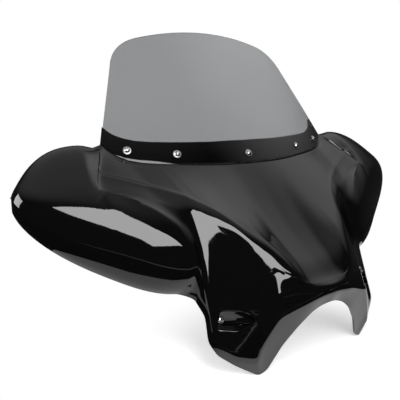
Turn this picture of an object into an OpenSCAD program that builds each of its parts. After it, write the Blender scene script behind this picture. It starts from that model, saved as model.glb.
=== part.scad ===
// Bolt-on motorcycle fairing: a moulded outer shell, a smoked windshield and its fasteners.
// The shell is drawn in a raked frame: x across, h up along the fork rake, n forward off it.
// Row frame: +Z up, the front faces -Y, the origin is the middle of the fork mount pattern.

/* [Stance] */
// Lean of the fork tubes and of the windshield from the vertical, in degrees
rake = 34.5; // [30:0.5:38]
// Depth of the fork mount face behind the shell's datum
mount_back = -106; // [-112:1:-100]
// Height of the fork mount pattern above the shell's datum
mount_up = -5.5; // [-12:0.5:0]

/* [Shell] */
// Thickness of the moulded wall
wall = 4; // [3:0.5:4]
// Half the width of the headlight arch at the leg tips
arch_half = 104; // [96:1:108]
// Level of the top of the headlight arch
arch_crown = -111; // [-116:1:-106]
// Level of the leg tips
leg_tip = -177; // [-190:1:-170]
// Width of the rolled flange around the headlight arch
arch_flange = 12; // [10:1:15]
// Reach of the nose in front of the datum
nose_reach = 202; // [195:1:210]
// Depth of the hollow of the bonnet between its two ridges
scoop_dip = 9; // [4:1:14]

/* [Pods] */
// Place of the pod's middle across the fairing
pod_x = 250; // [244:1:256]
// Level of the pod's middle
pod_h = 80; // [74:1:86]
// Reach of the pod outboard of its middle
pod_out = 191.6; // [180:0.2:200]
// Reach of the pod inboard of its middle
pod_in = 130.7; // [126:0.1:136]
// Reach of the pod above its middle
pod_up = 137.4; // [132:0.2:142]
// Reach of the pod below its middle
pod_down = 76.3; // [72:0.1:80]
// Tilt of the pod's long axis, in degrees
pod_tilt = 35.9; // [33:0.1:38]
// Height of the pod's dome over its open rim
pod_dome = 59; // [50:1:64]
// Depth of the pod's rim off the datum
pod_rim = 68; // [62:1:74]

/* [Leg recess] */
// Length of the tear-shaped recess in each leg
recess_l = 51; // [46:1:54]
// Half height of the recess at its blunt end
recess_half = 13.5; // [12:0.5:15]
// Depth of the recess floor at the bolt
recess_depth = 10; // [8:0.5:12]

/* [Windshield] */
// Radius of the windshield's bend
shield_r = 740; // [700:10:800]
// Thickness of the windshield
shield_t = 4; // [3:0.5:5]
// Reach of the windshield's face in front of the datum
shield_n = 128; // [124:1:132]
// Level of the windshield's top edge
shield_top = 463; // [430:1:490]
// Level of its bottom edge at the middle
shield_low = 166.8; // [164:0.2:170]
// Half width at the lower corners
shield_half = 259; // [252:1:261]
// Half width where the top corners begin
shield_half_top = 204; // [190:1:215]
// Radius of the top corners
shield_corner = 46; // [30:1:60]
// Gap between the windshield and its ledge, filled by the rubber nuts' collars
ledge_gap = 1.2; // [1:0.1:2]
// Clearance between the windshield's lower edge and the bonnet
seam_gap = 0.8; // [0.4:0.1:1.5]

/* [Screws] */
// Place of the inner pair of screws across the windshield
screw_x_in = 142; // [136:1:148]
// Place of the outer pair of screws across the windshield
screw_x_out = 222; // [218:1:226]
// Distance of the screws from the windshield's lower edge
screw_edge = 20; // [14:0.5:30]
// Radius of the screw's shank
screw_r = 2.5; // [2:0.1:3]
// Radius of the screw's domed head
head_r = 5.2; // [4.6:0.1:5.8]
// Height of the screw's domed head
head_h = 3; // [2.4:0.1:3.6]
// Width across the flats of the screw's hex socket
socket_w = 3; // [2.5:0.5:4]
// Outer radius of the washers
washer_r = 7; // [6.4:0.1:8]
// Thickness of the washers
washer_t = 1.2; // [0.8:0.1:1.6]
// Radius of the rubber nut's barrel
nut_r = 4.9; // [4.4:0.1:5.4]
// Length of the rubber nut's barrel behind the ledge
nut_l = 11; // [8:0.5:14]
// Radius of the rubber nut's collar
collar_r = 7.4; // [7:0.1:8]
// Radial clearance of a screw or nut in its hole
hole_gap = 0.4; // [0.2:0.05:0.6]

/* [Leg bolts] */
// Radius of the leg bolt's shank
bolt_r = 3; // [2.5:0.1:3.4]
// Radius of the leg bolt's head
bolt_head_r = 5; // [4.4:0.1:5.4]
// Height of the leg bolt's head
bolt_head_h = 3.2; // [2.6:0.1:3.8]
// Width across the flats of the leg bolt's hex socket
bolt_socket_w = 4; // [3:0.5:5]
// Outer radius of the leg washer
leg_washer_r = 6.2; // [5.8:0.1:6.6]
// Width across the flats of the leg nut
leg_nut_w = 10; // [9:0.5:11]
// Height of the leg nut
leg_nut_h = 5; // [4:0.5:6]

/* [Fork brackets] */
// Thickness of the bracket's steel strap
strap_t = 3; // [2.5:0.5:4]
// Width of the strap at the leg
strap_w = 22; // [18:1:24]
// Distance between the fork mount's hole columns
fork_span = 224; // [216:1:232]
// Distance between the fork mount's hole rows
fork_rise = 36; // [30:1:42]
// Radius of the fork mount's holes
fork_hole_r = 4.25; // [3.5:0.05:4.5]
// Margin of steel around the fork mount's holes
fork_margin = 11; // [9:1:13]

/* [Hidden] */
eps = 0.01;
// Level of the fold above the arch, and the radius of the ledge the windshield lies on
fold_rise = arch_flange;
ledge_r = shield_r - shield_t - ledge_gap;
// Feature lines as stations of [station, x, h, n]; the stations run outboard from the middle
edge_line = [
    [0, 0, arch_crown, nose_reach - 21], [0.5, 17, arch_crown - 1, nose_reach - 27],
    [1, 35, arch_crown - 6, nose_reach - 33], [2, 61, arch_crown - 20, nose_reach - 48],
    [3, arch_half - 20, leg_tip + 27, 131],
    [4, arch_half, leg_tip, 99], [5, arch_half + 16, leg_tip - 4, 94],
    [6, 155, leg_tip + 21, 95], [7, 181, leg_tip + 44, 97], [8, 190, -110, 98],
    [9, 183, -72, 101], [10, 190, -44, 99]];
fold_line = [
    [0, 0, arch_crown + fold_rise, nose_reach - 4], [1, 40, arch_crown + fold_rise - 3, nose_reach - 10],
    [2, 70, arch_crown + fold_rise - 6, nose_reach - 21], [3, arch_half - 3, -110, 170],
    [4, arch_half + 19, leg_tip + 36, 136], [5, arch_half + 26, leg_tip + 15, 116],
    [6, 156, leg_tip + 29, 105], [7, 177, leg_tip + 51, 106], [8, 184, -106, 105],
    [9, 178, -72, 108], [10, 188, -38, 106], [11, 226, -14, 86], [12, 281, 15, 66]];
waist_line = [
    [0, 0, -87, nose_reach], [1, 38, -85, nose_reach - 4], [2, 70, -68, 191], [3, 92, -60, 182],
    [4, 109, -67, 169], [5, 120, -68, 160], [6, 141, -50, 147], [7, 162, -27, 137],
    [8, 176, -8, 131], [9, 187, 28, 145], [10, 200, 52, 149], [11, 232, 88, 143],
    [12, 290, 134, 125], [12.5, 299, 120, 118], [13, 325, 130, 100]];
ridge_line = [
    [0, 0, -76, nose_reach - 15], [1, 38, -72, nose_reach - 13], [2, 62, -54, 198], [3, 79, -22, 191],
    [4, 97, 3, 183], [5, 110, 21, 177], [6, 125, 47, 167], [7, 144, 70, 157], [8, 165, 91, 149],
    [9, 191, 108, 140], [10, 217, 124, 130], [11, 244, 138, 124], [12, 296, 160, 111],
    [12.5, 299, 166, 109], [13, 325, 172, 98]];
// Seam under the windshield and the ledge's top edge, as [station, x, rise over the seam's middle]
seam_line = [
    [0, 0, 0], [1, 40, 1], [2, 70, 3], [3, 95, 6.5], [4, 115, 10], [5, 130, 13], [6, 146, 16.5],
    [7, 162, 20], [8, 180, 24.5], [9, 203, 31], [10, 224, 40], [11, 242, 54], [12, 254, 70],
    [12.5, shield_half + 1, 84]];
ledge_line = [
    [0, 0, 51], [2, 70, 53], [4, 115, 58], [6, 146, 63], [8, 180, 70], [9, 203, 77], [10, 222, 87],
    [11, 236, 98], [12, 244, 110], [12.5, shield_half - 11, 118]];
// Crease where the pod meets the bonnet and the leg, as [x, h, half width of the blend]
crease_line = [
    [270, 262, 7], [284, 213, 6], [293, 183, 5], [297, 156, 5], [289, 134, 8], [274, 121, 12],
    [241, 96, 12], [210, 68, 8], [197, 51, 7], [186, 33, 7], [179, 13, 7], [177, -8, 7],
    [183, -30, 7], [200, -60, 7]];
// Angles around the pod where the outboard stations meet its lower and upper rim
pod_low_line = [[10, -152], [11, -142], [12, -110], [13, -62], [14, -36], [15, -20], [16, -13]];
pod_high_line = [[12.5, 50], [13, 38], [14, 18], [15, 3], [16, -6]];
corner_station = 12.5;
// Stations where the shell has its columns
stations = [0, 0.5, 1, 1.5, 2, 2.4, 2.7, 3, 3.3, 3.7, 4, 4.35, 4.7, 5.1, 5.5, 5.9, 6.35, 6.8, 7.25,
    7.6, 8, 8.4, 8.8, 9.2, 9.6, 10, 10.4, 10.8, 11.2, 11.6, 12, 12.25, 12.5, 12.75, 13, 13.4, 13.8, 14.2,
    14.6, 15, 15.4, 15.7, 15.88, 15.97, 16];
// Straight-line value of a table at a station, as a list without the station
function pair_of(t, u, i = 0) = i >= len(t) - 2 || u <= t[i + 1][0] ? i : pair_of(t, u, i + 1);
function rest(r) = [for (k = [1:len(r) - 1]) r[k]];
function at(t, u) =
    let (v = min(t[len(t) - 1][0], abs(u)), i = pair_of(t, v), a = t[i], b = t[i + 1],
        f = (v - a[0]) / (b[0] - a[0]), p = rest(a) * (1 - f) + rest(b) * f)
    u < 0 ? [for (k = [0:len(p) - 1]) k == 0 ? -p[0] : p[k]] : p;
// The same line with its corners rounded over w stations to each side
function sum(v, i = 0) = i == len(v) - 1 ? v[i] : v[i] + sum(v, i + 1);
function soft(t, u, w) = sum([for (k = [-4:4]) at(t, u + w * k / 4)]) / 9;
function mix(a, b, f) = a * (1 - f) + b * f;
function unit(v) = v / max(norm(v), eps * eps);
// Face of the windshield's bend at x, and the ledge's face under it
function bend(x) = shield_n - shield_r + sqrt(shield_r * shield_r - x * x);
function ledge_bend(x) = shield_n - shield_r + sqrt(ledge_r * ledge_r - x * x);
// The pod: an egg-shaped outline, its sloping open rim and its dome
function pod_rim_n(x, h) =
    pod_rim - 0.129 * (x - pod_x - 50) - 0.023 * (h - pod_h - 40) + 11.8 * pow((x - pod_x - 50) / 100, 2);
pod_power = 2.8;
function pod_radius(x, h) =
    let (dx = x - pod_x, dh = h - pod_h,
        a = dx * cos(pod_tilt) + dh * sin(pod_tilt), b = dh * cos(pod_tilt) - dx * sin(pod_tilt))
    pow(pow(abs(a) / (a > 0 ? pod_out : pod_in), pod_power)
        + pow(abs(b) / (b > 0 ? pod_up : pod_down), pod_power), 1 / pod_power);
function pod_n(x, h) =
    let (r = pod_radius(x, h)) pod_rim_n(x, h) + (r < 1 ? pod_dome * sqrt(1 - r * r) : 0);
function pod_edge(phi) =
    let (c = cos(phi), s = sin(phi), oa = c > 0 ? pod_out : pod_in, ob = s > 0 ? pod_up : pod_down,
        k = pow(pow(abs(c) / oa, pod_power) + pow(abs(s) / ob, pod_power), -1 / pod_power),
        x = pod_x + k * (c * cos(pod_tilt) - s * sin(pod_tilt)),
        h = pod_h + k * (c * sin(pod_tilt) + s * cos(pod_tilt)))
    [x, h, pod_rim_n(x, h)];
// Share of the pod at a point: 0 inboard of the crease, 1 outboard of it
function crease_hit(x, h, a, b) =
    let (d = [b[0] - a[0], b[1] - a[1]],
        t = max(0, min(1, ((x - a[0]) * d[0] + (h - a[1]) * d[1]) / (d * d))),
        gap = norm([x - a[0] - t * d[0], h - a[1] - t * d[1]]),
        side = d[0] * (h - a[1]) - d[1] * (x - a[0]))
    [gap, (side > 0 ? gap : -gap) / mix(a[2], b[2], t)];
function nearest(hits, i = 0) =
    i == len(hits) - 1 ? hits[i]
    : let (r = nearest(hits, i + 1)) hits[i][0] <= r[0] + eps * eps ? hits[i] : r;
function pod_share(x, h) =
    let (hits = [for (i = [0:len(crease_line) - 2]) crease_hit(x, h, crease_line[i], crease_line[i + 1])],
        hit = nearest(hits), s = max(0, min(1, hit[1] / 2 + 0.5)),
        inside = max(0, min(1, (1 - pod_radius(x, h)) * 100)))
    s * s * (3 - 2 * s) * inside;
// The five feature points of a column
function edge_pt(u) = u < 10.5 ? soft(edge_line, u, 0.3) : pod_edge(at(pod_low_line, u)[0]);
function seam_pt(u) =
    u > corner_station ? pod_edge(at(pod_high_line, u)[0])
    : let (s = soft(seam_line, u, 0.45)) [s[0], shield_low - seam_gap + s[1], bend(s[0]) - 0.5];
function ledge_pt(u) =
    let (s = soft(ledge_line, u, 0.45)) [s[0], shield_low - seam_gap + s[1], ledge_bend(s[0])];
function between(u, f) = mix(edge_pt(u), seam_pt(u), f);
function fold_pt(u) = u <= 12 ? soft(fold_line, u, 0.3) : between(u, 0.04);
function pod_step(u) = max(0, min(1, u - 12.75));
function waist_pt(u) = mix(soft(waist_line, u, 0.3), between(u, 0.5), pod_step(u));
function ridge_pt(u) = mix(soft(ridge_line, u, 0.3), between(u, 0.62), pod_step(u));
// A corner at b rounded over da towards a and over dc towards c
function corner(a, b, c, da, dc, steps) =
    let (p = mix(b, a, min(0.45, da / norm(a - b))), q = mix(b, c, min(0.45, dc / norm(c - b))))
    [for (k = [0:steps]) let (t = k / steps) p * (1 - t) * (1 - t) + b * (2 * t * (1 - t)) + q * t * t];
function dip(u, t) = scoop_dip * max(0, 1 - u / 7) * 4 * t * (1 - t) * (1.25 - 0.5 * t);
fold_rows = 5;
waist_rows = 3;
bonnet_rows = 8;
// Row of a column where the ridge's round starts
ridge_row = 7 + fold_rows + waist_rows;
// Distance of the last row from the seam
seam_step = 9;
function bare_column(u) =
    let (e = edge_pt(u), f = fold_pt(u), m = waist_pt(u), g = ridge_pt(u), s = seam_pt(u),
        cf = corner(e, f, m, 5, 5, 2), cm = corner(f, m, g, 18, 18, 2), cg = corner(m, g, s, 12, 22, 3),
        last = 1 - min(0.3, seam_step / norm(s - cg[3])))
    concat([e], cf, [for (k = [1:fold_rows]) mix(cf[2], cm[0], k / (fold_rows + 1))], cm,
        [for (k = [1:waist_rows]) mix(cm[2], cg[0], k / (waist_rows + 1))], cg,
        [for (k = [1:bonnet_rows]) let (t = last * k / bonnet_rows) mix(cg[3], s, t) - [0, 0, dip(u, t)]],
        [s]);
// The recess in the leg: its axis runs forward from the bolt to the tip, its floor is upright
bolt_xh = [166.4, -83.9];
bolt_inset = 5;
bolt_across = 2.5;
recess_turn = 22.8;
recess_dir = [cos(recess_turn), sin(recess_turn)];
recess_tip = bolt_xh - recess_dir * (recess_l - bolt_inset) - [-recess_dir[1], recess_dir[0]] * bolt_across;
face_n = 121;
bolt_n = face_n - recess_depth;
bolt_face = unit([0.575, -0.818]);
// Length of the recess's rounded nose, and its rear corners' radius
recess_nose = 26;
recess_corner = 5;
// The fin that stands on the recess's floor behind its tip
fin_l = 26;
fin_half = 2.2;
fin_rise = 5;
// One column of the outer face, with the pod laid over the bare column
function shaped(u, p) = let (q = pod_share(p[0], p[1])) mix(p[2], pod_n(p[0], p[1]), q);
function column(u) =
    let (c = bare_column(u), top = len(c) - 1)
    [for (j = [0:top]) let (p = c[j])
        j == 0 || j == top || u == 16 ? (u > corner_station ? [p[0], p[1], pod_rim_n(p[0], p[1])] : p)
        : [p[0], p[1], shaped(u, p)]];
raw_grid = [for (u = stations) column(u)];
row_top = len(raw_grid[0]) - 1;
// Evens out the outboard part of the grid: each pass moves a point's n towards its neighbours' mean
calm_from = 8.2;
calm_passes = 3;
function calmed(g, i, j) =
    let (p = g[i][j])
    stations[i] < calm_from || i == len(stations) - 1 || j == 0 || j == row_top ? p
    : [p[0], p[1], p[2] / 2 + (g[i - 1][j][2] + g[i + 1][j][2] + g[i][j - 1][2] + g[i][j + 1][2]) / 8];
function calm(g, passes) =
    passes == 0 ? g
    : calm([for (i = [0:len(g) - 1]) [for (j = [0:row_top]) calmed(g, i, j)]], passes - 1);
half_grid = calm(raw_grid, calm_passes);
col_last = len(stations) - 1;
col_corner = search(corner_station, stations)[0];
function flip(p) = [-p[0], p[1], p[2]];
grid = [for (i = [-col_last:col_last]) [for (p = half_grid[abs(i)]) i < 0 ? flip(p) : p]];
cols = len(grid);
// Outward direction of the outer face at a grid point
function face_dir(i, j) =
    let (a = grid[min(i + 1, cols - 1)][j] - grid[max(i - 1, 0)][j],
        b = grid[i][min(j + 1, row_top)] - grid[i][max(j - 1, 0)])
    unit(cross(a, b));
function on_pod_rim(i, j) =
    let (u = stations[abs(i - col_last)])
    u == 16 || (j == 0 && u > 10.5) || (j == row_top && u > corner_station);
// Outward direction in the datum's plane at a point of the pod's rim
function rim_dir(p) =
    let (x = abs(p[0]), h = p[1], d = unit([pod_radius(x + 1, h) - pod_radius(x - 1, h),
        pod_radius(x, h + 1) - pod_radius(x, h - 1), 0]))
    p[0] < 0 ? flip(d) : d;
function inner_pt(i, j) =
    j == row_top && abs(i - col_last) <= col_corner
    ? grid[i][j] + [0, -wall, -shield_t - ledge_gap + 0.5 - wall]
    : grid[i][j] - (on_pod_rim(i, j) ? rim_dir(grid[i][j]) : face_dir(i, j)) * wall;
function ledge_outer(i, k) =
    let (u = stations[min(abs(i - col_last), col_corner)], a = seam_pt(u), b = ledge_pt(u),
        p = k == 0 ? [a[0], a[1] + eps, ledge_bend(a[0])] : b)
    i < col_last ? flip(p) : p;
function ledge_inner(i, k) =
    let (p = ledge_outer(i, k), d = unit([p[0], 0, sqrt(shield_r * shield_r - p[0] * p[0])])) p - d * wall;
rows = row_top + 3;
outer_pts = [for (i = [0:cols - 1]) for (j = [0:rows - 1])
    j <= row_top ? grid[i][j] : ledge_outer(i, j - row_top - 1)];
inner_pts = [for (i = [0:cols - 1]) for (j = [0:rows - 1])
    j <= row_top ? inner_pt(i, j) : ledge_inner(i, j - row_top - 1)];
function out_id(i, j) = i * rows + j;
function in_id(i, j) = cols * rows + out_id(i, j);
function has(i, j) =
    i >= 0 && i < cols - 1 && j >= 0 && j < rows - 1
    && (j < row_top || (i >= col_last - col_corner && i < col_last + col_corner));
function split(a, b, c, d) = [[a, c, b], [a, d, c]];
function rim(a, b, ia, ib) = split(b, a, ia, ib);
shell_faces = [for (i = [0:cols - 2]) for (j = [0:rows - 2]) if (has(i, j)) each concat(
    split(out_id(i, j), out_id(i + 1, j), out_id(i + 1, j + 1), out_id(i, j + 1)),
    split(in_id(i, j), in_id(i, j + 1), in_id(i + 1, j + 1), in_id(i + 1, j)),
    has(i, j - 1) ? [] : rim(out_id(i, j), out_id(i + 1, j), in_id(i, j), in_id(i + 1, j)),
    has(i + 1, j) ? [] : rim(out_id(i + 1, j), out_id(i + 1, j + 1), in_id(i + 1, j), in_id(i + 1, j + 1)),
    has(i, j + 1) ? [] : rim(out_id(i + 1, j + 1), out_id(i, j + 1), in_id(i + 1, j + 1), in_id(i, j + 1)),
    has(i - 1, j) ? [] : rim(out_id(i, j + 1), out_id(i, j), in_id(i, j + 1), in_id(i, j)))];

// The windshield's lower edge as [x, h], and the five screws over it as [x, h] from left to right
lower_edge = [for (u = [0:0.5:12]) let (q = soft(seam_line, u, 0.45)) [q[0], shield_low + q[1]]];
screws = [for (x = [-screw_x_out, -screw_x_in, 0, screw_x_in, screw_x_out])
    [x, lookup(abs(x), lower_edge) + screw_edge]];
// The leg bolt's seat in the row frame
function row_pt(p) =
    [p[0], p[1] * sin(rake) - p[2] * cos(rake) - mount_back, p[1] * cos(rake) + p[2] * sin(rake) - mount_up];
leg_seat = row_pt([bolt_xh[0], bolt_xh[1], bolt_n]);
leg_turn = atan2(bolt_face[1], bolt_face[0]);
seat_trim = 0.4;
seat_reach = 5;

// Steel and rubber parts: clear of the face they lie on by this much
touch = 0.05;
// Length of the screw's shank under its head, and of the leg bolt's
grip_l = washer_t + touch + shield_t + ledge_gap + wall + nut_l - 2;
leg_washer_t = 1.2;
seat_wall = wall - 2 * seat_trim;
leg_grip = leg_washer_t + seat_wall + strap_t + leg_nut_h + 2;
// Length of the bracket's tab in front of its bolt, and how much narrower the band is than its eye
tab_l = 17;
strap_step = 1.5;
// Thickening of the strap where it is bent, and the leaf's lip past the band
bend_swell = 0.6;
leaf_lip = 3;

module raked() {
    translate([0, -mount_back, -mount_up]) rotate([90 - rake, 0, 0]) children();
}

// Places children on the windshield's bend at x and h, with z out of its face
module on_bend(x, h) {
    raked() translate([0, h, shield_n - shield_r]) rotate([0, asin(x / shield_r), 0])
        translate([0, 0, shield_r]) children();
}

// Places children at the leg bolt's seat, with z out of the leg, on side 1 or -1
module on_leg(side) {
    mirror([side < 0 ? 1 : 0, 0, 0]) translate(leg_seat) rotate([0, 0, leg_turn]) rotate([0, 90, 0])
        translate([0, 0, -seat_trim]) children();
}

// Outline of the recess in x and h, with its tip at the origin of the turned frame
module recess_outline() {
    nose = [for (k = [1:10]) let (a = recess_nose * k / 10) [a, recess_half * pow(sin(9 * k), 0.8)]];
    arc = [for (k = [0:4]) [recess_l - recess_corner + recess_corner * sin(22.5 * k),
        recess_half - recess_corner + recess_corner * cos(22.5 * k)]];
    upper = concat([[0, 0]], nose, arc);
    translate(recess_tip) rotate([0, 0, recess_turn])
        polygon(concat(upper, [for (k = [len(upper) - 1:-1:1]) [upper[k][0], -upper[k][1]]]));
}

module fin_outline() {
    translate(recess_tip) rotate([0, 0, recess_turn])
        polygon([[-2, -fin_half], [fin_l / 2, -fin_half], [fin_l, 0], [fin_l / 2, fin_half],
            [-2, fin_half]]);
}

// Slab along the leg bolt's axis, from one height over its seat to another, on side 1
module leg_slab(low, high) {
    on_leg(1) translate([-70, -70, seat_trim + low]) cube([140, 140, high - low]);
}

// Plug that closes the back of the recess: the leg's outer face, sunk by half a wall, and 40 mm behind it
plug_cols = [for (k = [0:col_last]) if (stations[k] > 4 && stations[k] < 7.8) col_last + k];
plug_rows = [for (j = [2:ridge_row]) j];
plug_w = len(plug_cols);
plug_h = len(plug_rows);
plug_front = [for (i = plug_cols) for (j = plug_rows) grid[i][j] - face_dir(i, j) * wall / 2];
plug_back = [for (p = plug_front) p - [0, 0, 40]];
function fore(a, b) = a * plug_h + b;
function aft(a, b) = fore(a, b) + plug_w * plug_h;
plug_faces = [for (a = [0:plug_w - 2]) for (b = [0:plug_h - 2]) each concat(
    split(fore(a, b), fore(a + 1, b), fore(a + 1, b + 1), fore(a, b + 1)),
    split(aft(a, b), aft(a, b + 1), aft(a + 1, b + 1), aft(a + 1, b)),
    b > 0 ? [] : rim(fore(a, b), fore(a + 1, b), aft(a, b), aft(a + 1, b)),
    a < plug_w - 2 ? [] : rim(fore(a + 1, b), fore(a + 1, b + 1), aft(a + 1, b), aft(a + 1, b + 1)),
    b < plug_h - 2 ? [] : rim(fore(a + 1, b + 1), fore(a, b + 1), aft(a + 1, b + 1), aft(a, b + 1)),
    a > 0 ? [] : rim(fore(a, b + 1), fore(a, b), aft(a, b + 1), aft(a, b)))];

module recess_pocket() {
    intersection() {
        raked() polyhedron(points = concat(plug_front, plug_back), faces = plug_faces, convexity = 6);
        raked() linear_extrude(height = 200) offset(delta = wall) recess_outline();
        leg_slab(-wall, 60);
    }
}

module recess_cut() {
    difference() {
        intersection() {
            raked() linear_extrude(height = 200) recess_outline();
            leg_slab(0, 60);
        }
        intersection() {
            raked() linear_extrude(height = 200) fin_outline();
            leg_slab(-1, fin_rise);
        }
    }
}

// Moulded outer shell with its screw holes, its leg recesses, their bolt holes and flat seats
module shell() {
    color([0.02, 0.02, 0.022]) difference() {
        union() {
            raked() polyhedron(points = concat(outer_pts, inner_pts), faces = shell_faces, convexity = 10);
            for (side = [0, 1]) mirror([side, 0, 0]) recess_pocket();
        }
        for (side = [0, 1]) mirror([side, 0, 0]) recess_cut();
        for (p = screws) on_bend(p[0], p[1])
            translate([0, 0, -40]) cylinder(r = nut_r + hole_gap, h = 60, $fn = 48);
        for (side = [-1, 1]) on_leg(side) {
            translate([0, 0, -30]) cylinder(r = bolt_r + hole_gap, h = 60, $fn = 48);
            cylinder(r = leg_washer_r + hole_gap, h = seat_reach, $fn = 48);
            translate([0, 0, -seat_wall - 12]) cylinder(r = strap_w / 2 + hole_gap, h = 12, $fn = 48);
            translate([-strap_w / 2 - hole_gap, -tab_l - 2 * strap_t, -seat_wall - 12])
                cube([strap_w + 2 * hole_gap, tab_l + 2 * strap_t, 12 + bend_swell]);
        }
    }
}

// Outline of the windshield in x and h, from the middle of its lower edge around to the top
module windshield_outline() {
    side_foot = [shield_half, shield_low + 84];
    side_head = [shield_half_top, shield_top - 59];
    lift = unit(side_head - side_foot);
    peak = side_head + lift * shield_corner * 0.95;
    shoulder = [shield_half_top - 64, shield_top - 11];
    bend_in = [for (k = [0:12]) let (t = k / 12)
        side_head * (1 - t) * (1 - t) + peak * (2 * t * (1 - t)) + shoulder * t * t];
    crown = [for (k = [1:8]) let (x = shoulder[0] * (1 - k / 8))
        [x, shield_top - 11 * pow(x / shoulder[0], 2)]];
    half = concat(lower_edge, [side_foot], bend_in, crown);
    polygon(concat(half, [for (k = [len(half) - 2:-1:1]) [-half[k][0], half[k][1]]]));
}

// Smoked sheet bent to one radius, with a hole for each screw
module windshield() {
    color([0.1, 0.1, 0.11, 0.6]) difference() {
        raked() intersection() {
            translate([0, 0, shield_n - shield_r]) rotate([-90, 0, 0]) difference() {
                cylinder(r = shield_r, h = 2 * shield_top, $fn = 360);
                translate([0, 0, -1]) cylinder(r = shield_r - shield_t, h = 2 * shield_top + 2, $fn = 360);
            }
            linear_extrude(height = shield_n + 20) windshield_outline();
        }
        for (p = screws) on_bend(p[0], p[1])
            translate([0, 0, -20]) cylinder(r = screw_r + 2 * hole_gap, h = 40, $fn = 48);
    }
}

// Domed screw: its head on the washer and its shank down into the rubber nut
module shield_screw(k) {
    p = screws[k];
    color([0.8, 0.8, 0.82]) on_bend(p[0], p[1]) translate([0, 0, washer_t + touch])
        domed_bolt(head_r, head_h, screw_r, grip_l, socket_w);
}

// Radius of a dome from its foot's radius and its height
function dome_r(foot, rise) = (foot * foot + rise * rise) / (2 * rise);

// Domed head over z = 0 with a hex socket, and a shank of length l below it
module domed_bolt(foot, rise, shank_r, l, flats) {
    difference() {
        union() {
            rotate_extrude($fn = 64) intersection() {
                translate([0, rise - dome_r(foot, rise)]) circle(r = dome_r(foot, rise), $fn = 96);
                square([foot, rise]);
            }
            translate([0, 0, -l]) cylinder(r = shank_r, h = l + rise / 3, $fn = 48);
        }
        translate([0, 0, rise * 0.4]) cylinder(r = flats / sqrt(3), h = rise, $fn = 6);
    }
}

module ring(outer, inner, height) {
    difference() {
        cylinder(r = outer, h = height, $fn = 64);
        translate([0, 0, -1]) cylinder(r = inner, h = height + 2, $fn = 64);
    }
}

module shield_washer(k) {
    p = screws[k];
    color([0.75, 0.75, 0.77]) on_bend(p[0], p[1]) translate([0, 0, touch])
        ring(washer_r, screw_r + 0.2, washer_t);
}

// Rubber nut: a collar between the windshield and the ledge, and a barrel through the ledge
module shield_nut(k) {
    p = screws[k];
    barrel_l = ledge_gap + wall + nut_l;
    color([0.05, 0.05, 0.05]) on_bend(p[0], p[1]) translate([0, 0, -shield_t]) difference() {
        union() {
            translate([0, 0, -ledge_gap + touch])
                cylinder(r = collar_r, h = ledge_gap - 3 * touch, $fn = 64);
            translate([0, 0, -barrel_l]) cylinder(r = nut_r, h = barrel_l - 2 * touch, $fn = 64);
        }
        translate([0, 0, -barrel_l - 1]) cylinder(r = screw_r + 0.05, h = barrel_l + 2, $fn = 48);
    }
}

module leg_bolt(side) {
    color([0.8, 0.8, 0.82]) on_leg(side) translate([0, 0, leg_washer_t])
        domed_bolt(bolt_head_r, bolt_head_h, bolt_r, leg_grip, bolt_socket_w);
}

module leg_washer(side) {
    color([0.75, 0.75, 0.77]) on_leg(side) ring(leg_washer_r, bolt_r + 0.2, leg_washer_t);
}

module leg_nut(side) {
    color([0.7, 0.7, 0.72]) on_leg(side) translate([0, 0, -seat_wall - strap_t - leg_nut_h]) difference() {
        cylinder(r = leg_nut_w / sqrt(3), h = leg_nut_h, $fn = 6);
        translate([0, 0, -1]) cylinder(r = bolt_r + 0.05, h = leg_nut_h + 2, $fn = 48);
    }
}

// Bent steel strap from the leg bolt back to the leaf that takes the fork clamps
module mount_bracket(side) {
    along = [-bolt_face[1], bolt_face[0]];
    pad = [leg_seat[0], leg_seat[1]] - bolt_face * (seat_trim + seat_wall + strap_t / 2);
    front = pad - along * tab_l;
    band = strap_w - 2 * strap_step;
    band_low = leg_seat[2] - band / 2;
    leaf_in = fork_span / 2 - fork_margin;
    leaf_out = front[0] + strap_t / 2 + leaf_lip;
    leaf_h = fork_rise + 2 * fork_margin;
    color([0.12, 0.12, 0.13]) mirror([side < 0 ? 1 : 0, 0, 0]) difference() {
        union() {
            on_leg(1) translate([0, 0, -seat_wall - strap_t]) {
                cylinder(d = strap_w, h = strap_t, $fn = 64);
                translate([-band / 2, -tab_l, 0]) cube([band, tab_l, strap_t]);
            }
            translate([front[0], front[1], band_low - bend_swell / 2])
                cylinder(d = strap_t + bend_swell, h = band + bend_swell, $fn = 48);
            translate([front[0] - strap_t / 2, front[1], band_low + bend_swell])
                cube([strap_t, -strap_t / 2 - front[1], band - 2 * bend_swell]);
            translate([leaf_in, -strap_t, -leaf_h / 2]) cube([leaf_out - leaf_in, strap_t, leaf_h]);
        }
        on_leg(1) translate([0, 0, -seat_wall - strap_t - 10])
            cylinder(r = bolt_r + hole_gap, h = 20, $fn = 48);
        for (z = [-1, 1]) translate([fork_span / 2, 10, z * fork_rise / 2])
            rotate([90, 0, 0]) cylinder(r = fork_hole_r, h = 20, $fn = 48);
    }
}

shell();
windshield();
shield_screw(0);  // shield_screw_1
shield_screw(1);  // shield_screw_2
shield_screw(2);  // shield_screw_3
shield_screw(3);  // shield_screw_4
shield_screw(4);  // shield_screw_5
shield_washer(0);  // shield_washer_1
shield_washer(1);  // shield_washer_2
shield_washer(2);  // shield_washer_3
shield_washer(3);  // shield_washer_4
shield_washer(4);  // shield_washer_5
shield_nut(0);  // shield_nut_1
shield_nut(1);  // shield_nut_2
shield_nut(2);  // shield_nut_3
shield_nut(3);  // shield_nut_4
shield_nut(4);  // shield_nut_5
leg_bolt(-1);  // leg_bolt_left
leg_bolt(1);  // leg_bolt_right
leg_washer(-1);  // leg_washer_left
leg_washer(1);  // leg_washer_right
leg_nut(-1);  // leg_nut_left
leg_nut(1);  // leg_nut_right
mount_bracket(-1);  // mount_bracket_left
mount_bracket(1);  // mount_bracket_right
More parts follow.
